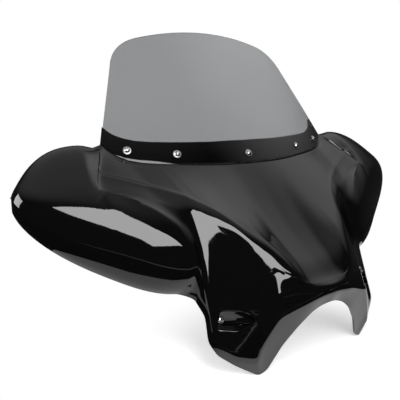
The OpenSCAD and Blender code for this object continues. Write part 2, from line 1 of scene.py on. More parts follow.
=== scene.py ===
# %% [markdown]
# This lesson dresses a bolt-on motorcycle fairing: one glossy black moulded shell, a smoked
# windshield that bolts to the shell's ledge, and the small steel and rubber parts that hold it.
# The construction already exists as solids in a shared frame, so the first step loads them.
# Every new piece is then put exactly where its solid is.
# %% Load the frame
import bpy
import math
import numpy as np
from mathutils import Matrix, Vector


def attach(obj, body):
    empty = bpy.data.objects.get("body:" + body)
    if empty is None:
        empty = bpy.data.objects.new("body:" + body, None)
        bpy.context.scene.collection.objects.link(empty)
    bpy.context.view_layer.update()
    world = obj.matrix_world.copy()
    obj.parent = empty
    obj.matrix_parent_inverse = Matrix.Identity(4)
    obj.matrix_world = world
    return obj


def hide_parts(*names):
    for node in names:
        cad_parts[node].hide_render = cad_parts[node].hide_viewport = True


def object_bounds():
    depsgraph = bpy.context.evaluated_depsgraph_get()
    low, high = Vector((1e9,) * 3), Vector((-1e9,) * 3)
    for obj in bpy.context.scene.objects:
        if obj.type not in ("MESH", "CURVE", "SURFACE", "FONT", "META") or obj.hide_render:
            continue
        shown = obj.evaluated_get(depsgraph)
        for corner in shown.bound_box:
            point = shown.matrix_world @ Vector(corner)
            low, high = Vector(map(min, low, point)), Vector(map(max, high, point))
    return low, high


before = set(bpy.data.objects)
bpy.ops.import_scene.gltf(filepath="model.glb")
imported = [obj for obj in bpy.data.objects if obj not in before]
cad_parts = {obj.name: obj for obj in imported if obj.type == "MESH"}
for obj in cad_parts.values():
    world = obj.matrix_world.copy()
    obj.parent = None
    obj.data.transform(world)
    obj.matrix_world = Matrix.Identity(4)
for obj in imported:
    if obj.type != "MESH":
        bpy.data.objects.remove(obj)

MM = 0.001
cad_low, cad_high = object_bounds()
print("solids measure", [round((b - a) / MM, 1) for a, b in zip(cad_low, cad_high)], "mm")
# %% [markdown]
# The camera comes early, because every look is judged through it. The product was photographed
# from its front left, a little above the middle, at close range, so the near side looms.
# A real lens length is kept: 44 mm on a 36 mm sensor gives the same strong perspective.
# %% Camera
CAMERA_AT = Vector((-0.582, -0.596, 0.3315))
CAMERA_AZIMUTH = math.radians(-34)
CAMERA_DROP = math.radians(11.7)
CAMERA_LENS, CAMERA_SENSOR, CAMERA_NEAR = 44.3, 36, 0.01


def outward(azimuth, elevation):
    """Unit vector from the object towards a viewer; azimuth 0 stands in front, on the -Y side."""
    flat = math.cos(elevation)
    return Vector((math.sin(azimuth) * flat, -math.cos(azimuth) * flat, math.sin(elevation)))


def add_camera():
    camera = bpy.data.objects.new("camera", bpy.data.cameras.new("camera"))
    bpy.context.scene.collection.objects.link(camera)
    camera.data.lens = CAMERA_LENS
    camera.data.sensor_width = CAMERA_SENSOR
    camera.data.clip_start = CAMERA_NEAR
    camera.location = CAMERA_AT
    look = -outward(CAMERA_AZIMUTH, CAMERA_DROP)
    camera.rotation_euler = look.to_track_quat("-Z", "Y").to_euler()
    bpy.context.scene.camera = camera
    return camera


camera = add_camera()
print("camera", [round(v, 3) for v in camera.location])
# %% [markdown]
# A few small helpers keep the rest short. One turns an sRGB hex colour to the linear values that
# shaders take. One adds a shader node with its settings and links. Two handle selection, because
# an operator always acts on whatever is selected, and the loaded solids start out selected.
# %% Helpers for colour and nodes
def linear(hex_colour):
    """Linear RGBA of an sRGB hex colour such as '#1a1a1c'."""
    parts = [int(hex_colour[i:i + 2], 16) / 255 for i in (1, 3, 5)]
    return tuple(c / 12.92 if c <= 0.04045 else ((c + 0.055) / 1.055) ** 2.4 for c in parts) + (1.0,)


def add_node(tree, kind, settings=None, values=None, links=None):
    """Adds one shader node: attributes, then socket values, then links from other nodes' sockets."""
    node = tree.nodes.new(kind)
    for name, value in (settings or {}).items():
        setattr(node, name, value)
    for name, value in (values or {}).items():
        node.inputs[name].default_value = value
    for name, source in (links or {}).items():
        tree.links.new(source, node.inputs[name])
    return node


def new_material(name):
    """A material with an empty node tree, its output node and its Principled shader."""
    material = bpy.data.materials.new(name)
    material.use_nodes = True
    tree = material.node_tree
    tree.nodes.clear()
    shader = add_node(tree, "ShaderNodeBsdfPrincipled")
    add_node(tree, "ShaderNodeOutputMaterial", links={"Surface": shader.outputs["BSDF"]})
    return material, tree, shader


# %% Helpers for selection and modelling
def pick(piece):
    """Makes one object the only selected and active one."""
    if bpy.context.object and bpy.context.object.mode != "OBJECT":
        bpy.ops.object.mode_set(mode="OBJECT")
    bpy.ops.object.select_all(action="DESELECT")
    piece.select_set(True)
    bpy.context.view_layer.objects.active = piece
    return piece


def named(name):
    """Gives the primitive that was just added its name."""
    piece = bpy.context.object
    piece.name = name
    piece.data.name = name
    return piece


def edit(piece):
    """Opens the piece in edit mode with all of it selected."""
    pick(piece)
    bpy.ops.object.mode_set(mode="EDIT")
    bpy.ops.mesh.select_all(action="SELECT")


def leave():
    bpy.ops.object.mode_set(mode="OBJECT")


def modify(piece, kind, **settings):
    """Adds a modifier with its settings and applies it at once."""
    pick(piece)
    modifier = piece.modifiers.new(kind.lower(), kind)
    for name, value in settings.items():
        setattr(modifier, name, value)
    bpy.ops.object.modifier_apply(modifier=modifier.name)


def move_points(piece, points):
    """Gives every vertex a new place, from an array with one row for each."""
    piece.data.vertices.foreach_set("co", np.asarray(points, dtype=np.float32).ravel())
    piece.data.update()


def carve(piece, cutter, operation="DIFFERENCE"):
    """Cuts a closed cutter out of a piece, or joins it on, and throws the cutter away."""
    modify(piece, "BOOLEAN", operation=operation, object=cutter, solver="MANIFOLD")
    bpy.data.objects.remove(cutter, do_unlink=True)


def triangles(piece):
    return sum(len(face.vertices) - 2 for face in piece.data.polygons)


def finish_shading(piece, angle):
    pick(piece)
    bpy.ops.object.shade_smooth_by_angle(angle=math.radians(angle))


bpy.ops.object.select_all(action="DESELECT")
# %% [markdown]
# The fairing leans back with the fork tubes, so its shapes are simple in a raked frame: x runs
# across, h runs up along the fork's rake and n stands off it, all in millimetres. One function
# carries a point from there to the shared frame in metres. It works on whole arrays at once.
# %% The raked frame
RAKE = math.radians(34.5)
MOUNT_BACK = -106
MOUNT_UP = -5.5


def place(x, h, n):
    """Points of the raked frame in millimetres, as points of the shared frame in metres."""
    y = h * math.sin(RAKE) - n * math.cos(RAKE) - MOUNT_BACK
    z = h * math.cos(RAKE) + n * math.sin(RAKE) - MOUNT_UP
    return np.stack(np.broadcast_arrays(x, y, z), axis=-1) * MM


RAKED = Matrix.Translation((0, -MOUNT_BACK * MM, -MOUNT_UP * MM)) @ Matrix.Rotation(
    math.radians(90) - RAKE, 4, "X")
print("raked origin lies at", [round(v / MM, 1) for v in RAKED.translation])
# %% [markdown]
# A moulder's drawing gives a shell like this by its feature lines: the rim of the headlight arch,
# the fold over it, the waist, the ridge that runs up to the handlebar pods, and the seam under the
# windshield. Each line is a short table of points. A row holds its station, numbered
# from the middle outboard, then x, h and n in millimetres. The seam and the ledge give x and the
# rise over the windshield's lowest level, the crease gives x, h and the width of its change, and
# the pod's two lines give an angle around it. Easing a table with a bell-shaped window makes
# fair curves of it.
# %% Feature lines
WALL = 4
CROWN = -111
TIP = -176.3
ARCH = 104
FLANGE = 12
NOSE = 202
SHIELD_R = 740
SHIELD_T = 4
SHIELD_N = 128
SHIELD_LOW = 166.8
SHIELD_HALF = 259
SHIELD_TOP = 463
LEDGE_GAP = 1.2
LEDGE_R = SHIELD_R - SHIELD_T - LEDGE_GAP
SEAM_H = SHIELD_LOW - 0.8
EDGE_LINE = [
    (0, 0, CROWN, NOSE - 21), (0.5, 17, CROWN - 1, NOSE - 27), (1, 35, CROWN - 6, NOSE - 33),
    (2, 61, CROWN - 20, NOSE - 48), (3, ARCH - 20, TIP + 27, 131), (4, ARCH, TIP, 99),
    (5, ARCH + 16, TIP - 4, 94), (6, 155, TIP + 21, 95), (7, 181, TIP + 44, 97),
    (8, 190, -110, 98), (9, 183, -72, 101), (10, 190, -44, 99)]
FOLD_LINE = [
    (0, 0, CROWN + FLANGE, NOSE - 4), (1, 40, CROWN + FLANGE - 3, NOSE - 10),
    (2, 70, CROWN + FLANGE - 6, NOSE - 21), (3, ARCH - 3, -110, 170),
    (4, ARCH + 19, TIP + 36, 136), (5, ARCH + 26, TIP + 15, 116), (6, 156, TIP + 29, 105),
    (7, 177, TIP + 51, 106), (8, 184, -106, 105), (9, 178, -72, 108), (10, 188, -38, 106),
    (11, 226, -14, 86), (12, 281, 15, 66)]
WAIST_LINE = [
    (0, 0, -87, NOSE), (1, 38, -85, NOSE - 4), (2, 70, -68, 191), (3, 92, -60, 182),
    (4, 109, -67, 169), (5, 120, -68, 160), (6, 141, -50, 147), (7, 162, -27, 137),
    (8, 176, -8, 131), (9, 187, 28, 145), (10, 200, 52, 149), (11, 232, 88, 143),
    (12, 290, 134, 125), (12.5, 299, 120, 118), (13, 325, 130, 100)]
RIDGE_LINE = [
    (0, 0, -76, NOSE - 15), (1, 38, -72, NOSE - 13), (2, 62, -54, 198), (3, 79, -22, 191),
    (4, 97, 3, 183), (5, 110, 21, 177), (6, 125, 47, 167), (7, 144, 70, 157),
    (8, 165, 91, 149), (9, 191, 108, 140), (10, 217, 124, 130), (11, 244, 138, 124),
    (12, 296, 160, 111), (12.5, 299, 166, 109), (13, 325, 172, 98)]
SEAM_LINE = [
    (0, 0, 0), (1, 40, 1), (2, 70, 3), (3, 95, 6.5), (4, 115, 10), (5, 130, 13), (6, 146, 16.5),
    (7, 162, 20), (8, 180, 24.5), (9, 203, 31), (10, 224, 40), (11, 242, 54), (12, 254, 70),
    (12.5, SHIELD_HALF + 1, 84)]
LEDGE_LINE = [
    (0, 0, 51), (2, 70, 53), (4, 115, 58), (6, 146, 63), (8, 180, 70), (9, 203, 77),
    (10, 222, 87), (11, 236, 98), (12, 244, 110), (12.5, SHIELD_HALF - 11, 118)]
CREASE_LINE = [
    (270, 262, 7), (284, 213, 6), (293, 183, 5), (297, 156, 5), (289, 134, 8), (274, 121, 12),
    (241, 96, 12), (210, 68, 8), (197, 51, 7), (186, 33, 7), (179, 13, 7), (177, -8, 7),
    (183, -30, 7), (200, -60, 7)]
POD_LOW_LINE = [(10, -152), (11, -142), (12, -110), (13, -62), (14, -36), (15, -20), (16, -13)]
POD_HIGH_LINE = [(12.5, 50), (13, 38), (14, 18), (15, 3), (16, -6)]
CORNER = 12.5
LAST = 16


def along(table, stations):
    """Straight-line values of a table at the stations; left of the middle the x values mirror."""
    rows = np.array(table, dtype=float)
    values = np.stack([np.interp(abs(stations), rows[:, 0], rows[:, k])
                       for k in range(1, rows.shape[1])], axis=-1)
    if rows.shape[1] > 2:
        values[..., 0] *= np.where(stations < 0, -1, 1)
    return values


def eased(table, stations, width):
    """The same values averaged under a bell-shaped window of the given half width."""
    taps = np.linspace(-1, 1, 23)[1:-1]
    bell = 1 + np.cos(np.pi * taps)
    return sum(w * along(table, stations + width * t) for t, w in zip(taps, bell)) / bell.sum()


def smoothstep(values, low, high):
    """0 below the low value, 1 above the high one, and a soft change between them."""
    share = np.clip((values - low) / (high - low), 0, 1)
    return share * share * (3 - 2 * share)


line_sizes = [len(line) for line in (EDGE_LINE, FOLD_LINE, WAIST_LINE, RIDGE_LINE, SEAM_LINE)]
print("feature lines with", sum(line_sizes), "points")
# %% [markdown]
# The two pods are egg-shaped domes over a sloping open rim. A power between an ellipse and a
# rectangle gives the egg its full shoulders. The dome's height follows a quarter ellipse, so the
# wall stands upright where it meets the rim, just as a deep-drawn moulding does.
# %% The pods
POD_X, POD_H = 250, 80
POD_OUT, POD_IN, POD_UP, POD_DOWN = 191.6, 130.7, 137.4, 76.3
POD_TILT = math.radians(35.9)
POD_POWER = 2.8
POD_DOME = 59
POD_CALM = 0.25, 0.9
POD_RIM, RIM_OUT, RIM_UP = 68, 50, 40
RIM_FALL_X, RIM_FALL_H, RIM_BOW = 0.129, 0.023, 11.8


def pod_rim_n(x, h):
    """Height of the open rim: a sloping plane, bowed a little across."""
    return (POD_RIM - RIM_FALL_X * (x - POD_X - RIM_OUT) - RIM_FALL_H * (h - POD_H - RIM_UP)
            + RIM_BOW * ((x - POD_X - RIM_OUT) / 100) ** 2)


def egg_sum(a, b, power=POD_POWER):
    """1 all along the egg's outline, less inside it, from a point in the egg's own axes."""
    return (abs(a / np.where(a > 0, POD_OUT, POD_IN)) ** power
            + abs(b / np.where(b > 0, POD_UP, POD_DOWN)) ** power)


def pod_radius(x, h, power=POD_POWER):
    dx, dh = x - POD_X, h - POD_H
    a = dx * math.cos(POD_TILT) + dh * math.sin(POD_TILT)
    b = dh * math.cos(POD_TILT) - dx * math.sin(POD_TILT)
    return egg_sum(a, b, power) ** (1 / power)


def pod_n(x, h):
    """Height of the dome. Near its middle it passes into a plain ellipse, which has no flat lines."""
    full = pod_radius(x, h)
    r = full + (pod_radius(x, h, 2) - full) * (1 - smoothstep(full, *POD_CALM))
    return pod_rim_n(x, h) + POD_DOME * np.sqrt(np.clip(1 - r ** 2, 0, 1))


def pod_edge(degrees):
    """Point of the pod's open rim at an angle around its middle."""
    c, s = np.cos(np.radians(degrees)), np.sin(np.radians(degrees))
    reach = egg_sum(c, s) ** (-1 / POD_POWER)
    x = POD_X + reach * (c * math.cos(POD_TILT) - s * math.sin(POD_TILT))
    h = POD_H + reach * (c * math.sin(POD_TILT) + s * math.cos(POD_TILT))
    return np.stack([x, h, pod_rim_n(x, h)], axis=-1)


def pod_share(x, h, spread=1):
    """0 inboard of the crease around the pod, 1 outboard of it, with a soft change between."""
    best = np.full(x.shape, 1e9)
    signed = np.zeros(x.shape)
    for (ax, ah, aw), (bx, bh, bw) in zip(CREASE_LINE, CREASE_LINE[1:]):
        dx, dh = bx - ax, bh - ah
        t = np.clip(((x - ax) * dx + (h - ah) * dh) / (dx * dx + dh * dh), 0, 1)
        gap = np.hypot(x - ax - t * dx, h - ah - t * dh)
        side = np.sign(dx * (h - ah) - dh * (x - ax))
        nearer = gap < best - 1e-9
        best = np.where(nearer, gap, best)
        signed = np.where(nearer, side * gap / (spread * (aw + (bw - aw) * t)), signed)
    return smoothstep(signed, -1, 1) * np.clip((1 - pod_radius(x, h)) * 100, 0, 1)


print("pod rim at its outboard end", pod_edge(np.array([0.0])).round(1).tolist())
# %% [markdown]
# Now each station gets its column of points, from the arch's rim up to the seam. A column runs
# straight between its feature points and turns each corner on a short curve. Outboard, where the
# shell is all pod, columns run straight across the dome instead, with their rows packed towards
# the upright rims. Grid lines that follow the form are what keeps the reflections calm.
# %% Where the columns start and end
EASE_EDGE, EASE_BONNET, EASE_SEAM = 0.42, 0.5, 0.6
EDGE_TO_POD = 10, 10.8


def stations_of_half():
    """Stations from the middle outboard, ten or more for each number, closest at the pod's end."""
    inner = np.linspace(0, 8, 81)[:-1]
    middle = np.linspace(8, CORNER, 57)[:-1]
    outer = LAST - (LAST - CORNER) * (1 - np.linspace(0, 1, 61)) ** 2
    return np.concatenate([inner, middle, outer])


def edge_points(u):
    body = eased(EDGE_LINE, u, EASE_EDGE)
    pod = pod_edge(along(POD_LOW_LINE, u)[..., 0])
    return body + (pod - body) * smoothstep(u, *EDGE_TO_POD)[:, None]


def bend(x, radius=SHIELD_R):
    """Face of the windshield's bend at x, or of a smaller bend about the same axis."""
    return SHIELD_N - SHIELD_R + np.sqrt(radius * radius - x * x)


def seam_points(u):
    line = eased(SEAM_LINE, np.minimum(u, CORNER), EASE_SEAM)
    seam = np.stack([line[:, 0], SEAM_H + line[:, 1], bend(line[:, 0]) - 0.5], axis=-1)
    pod = pod_edge(along(POD_HIGH_LINE, u)[..., 0])
    return np.where((u > CORNER)[:, None], pod, seam)


half_u = stations_of_half()
print("stations of the half:", len(half_u), "rim from", edge_points(half_u)[0].round(1).tolist())
# %% Columns of the shell
ROWS_RIM, ROWS_CORNER, ROWS_FOLD, ROWS_WAIST, ROWS_BONNET = 4, 7, 16, 8, 32
FOLD_TURN, WAIST_TURN, RIDGE_TURN = (6, 6), (22, 22), (14, 26)
SCOOP_DIP, SCOOP_END = 9, 7
SEAM_STEP = 6
TO_STRAIGHT = 12.2, 13.6


def mix(a, b, share):
    return a + (b - a) * share


def round_corner(a, b, c, back, ahead, steps):
    """Points of a curve that leaves the line a-b before the corner b and joins b-c after it."""
    p = mix(b, a, np.minimum(0.45, back / np.linalg.norm(a - b, axis=1))[:, None])
    q = mix(b, c, np.minimum(0.45, ahead / np.linalg.norm(c - b, axis=1))[:, None])
    return [p * (1 - t) ** 2 + b * (2 * t * (1 - t)) + q * t * t for t in np.linspace(0, 1, steps)]


def body_rows(u, edge, seam):
    """Rows of points over the bonnet and the legs, from the rim to the seam."""
    fold = eased(FOLD_LINE, u, EASE_EDGE)
    waist = eased(WAIST_LINE, u, EASE_BONNET)
    ridge = eased(RIDGE_LINE, u, EASE_BONNET)
    at_fold = round_corner(edge, fold, waist, *FOLD_TURN, ROWS_CORNER)
    at_waist = round_corner(fold, waist, ridge, *WAIST_TURN, ROWS_CORNER)
    at_ridge = round_corner(waist, ridge, seam, *RIDGE_TURN, ROWS_CORNER + 2)
    rows = [mix(edge, at_fold[0], (k / ROWS_RIM) ** 2) for k in range(ROWS_RIM)] + at_fold
    rows += [mix(at_fold[-1], at_waist[0], k / ROWS_FOLD) for k in range(1, ROWS_FOLD)] + at_waist
    rows += [mix(at_waist[-1], at_ridge[0], k / ROWS_WAIST) for k in range(1, ROWS_WAIST)] + at_ridge
    reach = np.linalg.norm(seam - at_ridge[-1], axis=1)
    last = 1 - np.minimum(0.3, SEAM_STEP / reach)
    for k in range(1, ROWS_BONNET + 1):
        t = last * k / ROWS_BONNET
        row = mix(at_ridge[-1], seam, t[:, None])
        row[:, 2] -= (SCOOP_DIP * np.clip(1 - u / SCOOP_END, 0, 1)
                      * 4 * t * (1 - t) * (1.25 - 0.5 * t))
        rows.append(row)
    return np.stack(rows + [seam], axis=1)


def outer_face(u):
    """The half shell's outer face as an array [station, row, (x, h, n)]."""
    edge, seam = edge_points(u), seam_points(u)
    body = body_rows(u, edge, seam)
    count = body.shape[1]
    across = (1 - np.cos(np.linspace(0, np.pi, count))) / 2
    chord = edge[:, None] + (seam - edge)[:, None] * across[None, :, None]
    face = mix(body, chord, smoothstep(u, *TO_STRAIGHT)[:, None, None])
    share = pod_share(face[..., 0], face[..., 1])
    face[..., 2] = mix(face[..., 2], pod_n(face[..., 0], face[..., 1]), share)
    rim = pod_rim_n(face[..., 0], face[..., 1])
    on_pod = u > CORNER
    for row in (0, -1):
        face[on_pod, row, 2] = rim[on_pod, row]
    face[-1, :, 2] = rim[-1]
    return face


half = outer_face(half_u)
print("half shell grid", half.shape[:2])
# %% [markdown]
# Two halves make the full face. Tables of points leave ripples too small to see in a drawing, yet
# a gloss black surface shows every one. A moulder block-sands the master; here each pass moves a
# point's height half way to the mean of its neighbours, most of all around the pods. The rims,
# the fold over the arch and the seam keep their places, as masking tape would keep them.
# %% Fair the face
FAIR_PASSES, FAIR_STEP = 36, 0.5
FAIR_INBOARD = 0.25
POD_CREASE_SPREAD = 4


def mirrored(grid):
    """The full grid from its right half, left to right."""
    left = grid[:0:-1].copy()
    left[..., 0] *= -1
    return np.concatenate([left, grid])


def faired(grid, stations, passes):
    """Sands the heights: each pass moves every point part of the way to its neighbours' mean."""
    rows = np.arange(grid.shape[1])
    fold_top = ROWS_RIM + ROWS_CORNER
    row_share = smoothstep(rows, fold_top - 2, fold_top + 5) * smoothstep(rows[-1] - rows, 0, 4)
    pod_rows = smoothstep(rows, 0, 5) * smoothstep(rows[-1] - rows, 0, 4)
    outboard = smoothstep(abs(stations), 10.2, 11.2)[:, None]
    hold = mix(row_share[None, :], pod_rows[None, :], outboard)
    more = (1 - FAIR_INBOARD) * smoothstep(abs(stations), 7, 9.5)
    strength = hold * (FAIR_INBOARD + more)[:, None]
    in_pod = pod_share(abs(grid[..., 0]), grid[..., 1], POD_CREASE_SPREAD)
    strength = strength * (1 - smoothstep(in_pod, 0.6, 1))
    strength[0] = strength[-1] = 0
    for _ in range(passes):
        n = grid[..., 2]
        padded = np.pad(n, 1, mode="edge")
        mean = (padded[:-2, 1:-1] + padded[2:, 1:-1] + padded[1:-1, :-2] + padded[1:-1, 2:]) / 4
        grid[..., 2] = n + (mean - n) * strength * FAIR_STEP
    return grid


face_u = np.concatenate([-half_u[:0:-1], half_u])
face = faired(mirrored(half), face_u, FAIR_PASSES)
print("full face", face.shape[:2], "after", FAIR_PASSES, "passes")
# %% [markdown]
# Above the seam the shell steps back by the windshield's thickness and runs on as a ledge, which
# is what the smoked sheet lies on. The ledge is a few more rows on the same grid, and it exists
# only between the two lower corners of the windshield.
# %% Ledge rows
LEDGE_ROWS, OFF_SEAM = 6, 0.01


def ledge_rows(stations):
    """Rows over the ledge, the first a hair off the seam, so that no cell there is empty."""
    u = np.clip(stations, -CORNER, CORNER)
    seam = eased(SEAM_LINE, u, EASE_SEAM)
    top = eased(LEDGE_LINE, u, EASE_SEAM)
    rows = []
    for k in range(LEDGE_ROWS):
        line = mix(seam, top, k / (LEDGE_ROWS - 1))
        h = SEAM_H + line[:, 1] + OFF_SEAM
        rows.append(np.stack([line[:, 0], h, bend(line[:, 0], LEDGE_R)], axis=-1))
    return np.stack(rows, axis=1)


face = np.concatenate([face, ledge_rows(face_u)], axis=1)
print("face with ledge", face.shape[:2])
# %% [markdown]
# The moulding itself starts as a flat grid primitive with one square for each cell. Its vertices
# move to the faired places, the squares beside the ledge go, and a Solidify modifier gives the
# sheet its wall, inwards, so the outer face stays exact. The inner skin takes a second material,
# because a mould polishes only the outside.
# %% Mould the sheet
INSIDE_BOX = 0.999999


def sheet_from(name, points):
    """A grid primitive moved onto an array of points [column, row, (x, y, z)], facing the front."""
    columns, rows = points.shape[:2]
    bpy.ops.mesh.primitive_grid_add(x_subdivisions=columns - 1, y_subdivisions=rows - 1, size=1)
    piece = named(name)
    points[..., 0] = np.clip(points[..., 0], INSIDE_BOX * cad_low.x, INSIDE_BOX * cad_high.x)
    move_points(piece, points.transpose(1, 0, 2).reshape(-1, 3))
    middle = piece.data.polygons[len(piece.data.polygons) // 2]
    if middle.normal.y > 0:
        edit(piece)
        bpy.ops.mesh.flip_normals()
        leave()
    return piece


def trim_ledge(piece, columns, rows):
    """Deletes the ledge's rows outboard of the windshield's corners."""
    edit(piece)
    bpy.ops.mesh.select_all(action="DESELECT")
    leave()
    outboard = np.tile(abs(columns) > CORNER + 1e-6, rows)
    lost = outboard & (np.arange(len(outboard)) >= len(columns) * (rows - LEDGE_ROWS))
    piece.data.vertices.foreach_set("select", lost)
    bpy.ops.object.mode_set(mode="EDIT")
    bpy.ops.mesh.delete(type="VERT")
    leave()


shell = sheet_from("fairing_shell", place(face[..., 0], face[..., 1], face[..., 2]))
trim_ledge(shell, face_u, face.shape[1])
print("sheet of", len(shell.data.polygons), "faces")
# %% Give the sheet its wall
OUTER_SLOT, INNER_SLOT = 0, 1


def thicken(piece, thickness):
    """Turns a sheet into a closed wall, inwards, with its inner skin in the second slot."""
    modify(piece, "SOLIDIFY", thickness=thickness * MM, offset=-1, use_even_offset=True,
           use_rim=True, material_offset=INNER_SLOT, material_offset_rim=OUTER_SLOT)


def two_slots(piece):
    """Placeholders for the outer and the inner finish, filled once the materials exist."""
    for name in ("outer", "inner"):
        piece.data.materials.append(bpy.data.materials.new("waiting_" + name))


two_slots(shell)
thicken(shell, WALL)
print("wall of", WALL, "mm,", triangles(shell), "triangles")
# %% [markdown]
# Each leg has a tear-shaped recess with an upright floor, a small fin behind its tip and a bolt at
# its blunt end. On a mould that is a steel insert. Here it is cutting work: a thicker pad is joined
# on behind the leg's face first, so that the floor has something to stand in, and then the recess
# is cut from the front with the fin left standing. The Manifold solver keeps such cuts clean.
# %% Recess outline and its cutters
BOLT_X, BOLT_H = 166.4, -83.9
RECESS_L, RECESS_HALF, RECESS_DEPTH = 51, 13.5, 10
RECESS_NOSE, NOSE_POWER, RECESS_CORNER = 26, 0.8, 5
BOLT_INSET, BOLT_ACROSS = 5, 2.5
RECESS_TURN = math.radians(22.8)
FACE_N = 121
PRISM_TOP = 200
bolt_axis = Vector((0.575, -0.818, 0)).normalized()
recess_dir = np.array([math.cos(RECESS_TURN), math.sin(RECESS_TURN)])
recess_side = np.array([-recess_dir[1], recess_dir[0]])
recess_tip = (np.array([BOLT_X, BOLT_H]) - recess_dir * (RECESS_L - BOLT_INSET)
              - recess_side * BOLT_ACROSS)
leg_seat = Vector(place(BOLT_X, BOLT_H, FACE_N - RECESS_DEPTH))


def recess_outline(grow):
    """The recess's outline in x and h, made larger all round by a margin."""
    nose = [(RECESS_NOSE * k / 12, RECESS_HALF * math.sin(math.radians(7.5 * k)) ** NOSE_POWER)
            for k in range(1, 13)]
    tail = [(RECESS_L - RECESS_CORNER * (1 - math.sin(a)),
             RECESS_HALF - RECESS_CORNER * (1 - math.cos(a)))
            for a in np.radians(np.linspace(0, 90, 7))]
    upper = [(0, 0)] + nose + tail
    outline = np.array(upper + [(a, -b) for a, b in upper[:0:-1]])
    after, before = np.roll(outline, -1, axis=0), np.roll(outline, 1, axis=0)
    run = after - before
    run /= np.linalg.norm(run, axis=1)[:, None]
    outline = outline + grow * np.stack([-run[:, 1], run[:, 0]], axis=1)
    return recess_tip + outline[:, :1] * recess_dir + outline[:, 1:] * recess_side


def extrude_along_n(piece, length):
    """Extrudes the whole piece along n and closes it, with its faces pointing outwards."""
    edit(piece)
    step = Vector(place(0, 0, length)) - Vector(place(0, 0, 0))
    bpy.ops.mesh.extrude_region_move(TRANSFORM_OT_translate={"value": step})
    bpy.ops.mesh.select_all(action="SELECT")
    bpy.ops.mesh.normals_make_consistent(inside=False)
    leave()


def prism(name, outline, side):
    """A straight prism along n over an outline in x and h, on side 1 or -1."""
    bpy.ops.mesh.primitive_circle_add(vertices=len(outline), fill_type="NGON")
    piece = named(name)
    move_points(piece, place(outline[:, 0] * side, outline[:, 1], 0))
    extrude_along_n(piece, PRISM_TOP)
    return piece


print("leg bolt seat at", [round(v / MM, 1) for v in leg_seat], "mm")
# %% Cutters on the leg bolt's axis
SLAB_W, SLAB_TOP = 140, 60


def bolt_line(side, height):
    """The leg bolt's axis, out of the leg, and the point at a height over its seat."""
    axis = Vector((bolt_axis.x * side, bolt_axis.y, 0))
    return axis, Vector((leg_seat.x * side, leg_seat.y, leg_seat.z)) + axis * (height * MM)


def bolt_frame(side, height):
    """Frame on that axis at a height over the seat, with z out of the leg."""
    axis, at = bolt_line(side, height)
    return Matrix.Translation(at) @ axis.to_track_quat("Z", "Y").to_matrix().to_4x4()


def slab(name, side, low, high=SLAB_TOP):
    """A wide slab across the bolt's axis, from one height over its seat to another."""
    axis, middle = bolt_line(side, (low + high) / 2)
    bpy.ops.mesh.primitive_cube_add(size=1)
    piece = named(name)
    turn = Matrix.Rotation(math.atan2(axis.y, axis.x), 4, "Z")
    size = Matrix.Diagonal(((high - low) * MM, SLAB_W * MM, SLAB_W * MM, 1))
    piece.data.transform(Matrix.Translation(middle) @ turn @ size)
    return piece


def pin(name, side, radius, low, high, steps=48):
    """A cylinder on the leg bolt's axis."""
    bpy.ops.mesh.primitive_cylinder_add(vertices=steps, radius=radius * MM, depth=(high - low) * MM)
    piece = named(name)
    piece.data.transform(bolt_frame(side, (low + high) / 2))
    return piece


print("bolt axis", [round(v, 3) for v in bolt_axis])
# %% Thicken the legs behind the recesses
PAD_STATIONS, PAD_BACK = (4.05, 7.65), 40


def leg_pad(side):
    """A pad behind the leg's face: the face sunk by half a wall and drawn back."""
    columns = [i for i, u in enumerate(face_u) if PAD_STATIONS[0] < u * side < PAD_STATIONS[1]]
    rows = list(range(ROWS_RIM + 2, ROWS_RIM + 2 * ROWS_CORNER + ROWS_FOLD + ROWS_WAIST))
    patch = face[columns][:, rows]
    along_u, along_row = np.gradient(patch, axis=(0, 1))
    normal = np.cross(along_u, along_row)
    normal /= np.linalg.norm(normal, axis=2)[..., None]
    patch = patch - normal * (WALL / 2)
    pad = sheet_from("leg_pad", place(patch[..., 0], patch[..., 1], patch[..., 2]))
    extrude_along_n(pad, -PAD_BACK)
    carve(pad, prism("pad_outline", recess_outline(WALL), side), "INTERSECT")
    carve(pad, slab("pad_slab", side, -WALL), "INTERSECT")
    return pad


for side in (1, -1):
    carve(shell, leg_pad(side), "UNION")
print("with pads:", triangles(shell), "triangles")
# %% Cut the recesses, their fins and the bolt holes
FIN_L, FIN_HALF, FIN_RISE, FIN_ROOT = 26, 2.2, 5, 2
SEAT_TRIM, SEAT_CUT, HOLE_GAP = 0.4, 5, 0.4
STRAP_W, STRAP_T, STRAP_ROOM = 22, 3, 12
BOLT_R, BOLT_DRILL, LEG_WASHER_R, LEG_WASHER_T = 3, 30, 6.2, 1.2
SEAT_WALL = WALL - 2 * SEAT_TRIM


def fin_outline():
    """The fin's outline in x and h: straight sides from past the tip, then a point."""
    fin = np.array([(-FIN_ROOT, -FIN_HALF), (FIN_L / 2, -FIN_HALF), (FIN_L, 0),
                    (FIN_L / 2, FIN_HALF), (-FIN_ROOT, FIN_HALF)])
    return recess_tip + fin[:, :1] * recess_dir + fin[:, 1:] * recess_side


def recess_cutter(side):
    cutter = prism("recess", recess_outline(0), side)
    carve(cutter, slab("recess_floor", side, 0), "INTERSECT")
    fin = prism("fin", fin_outline(), side)
    carve(fin, slab("fin_height", side, -1, FIN_RISE), "INTERSECT")
    carve(cutter, fin)
    return cutter


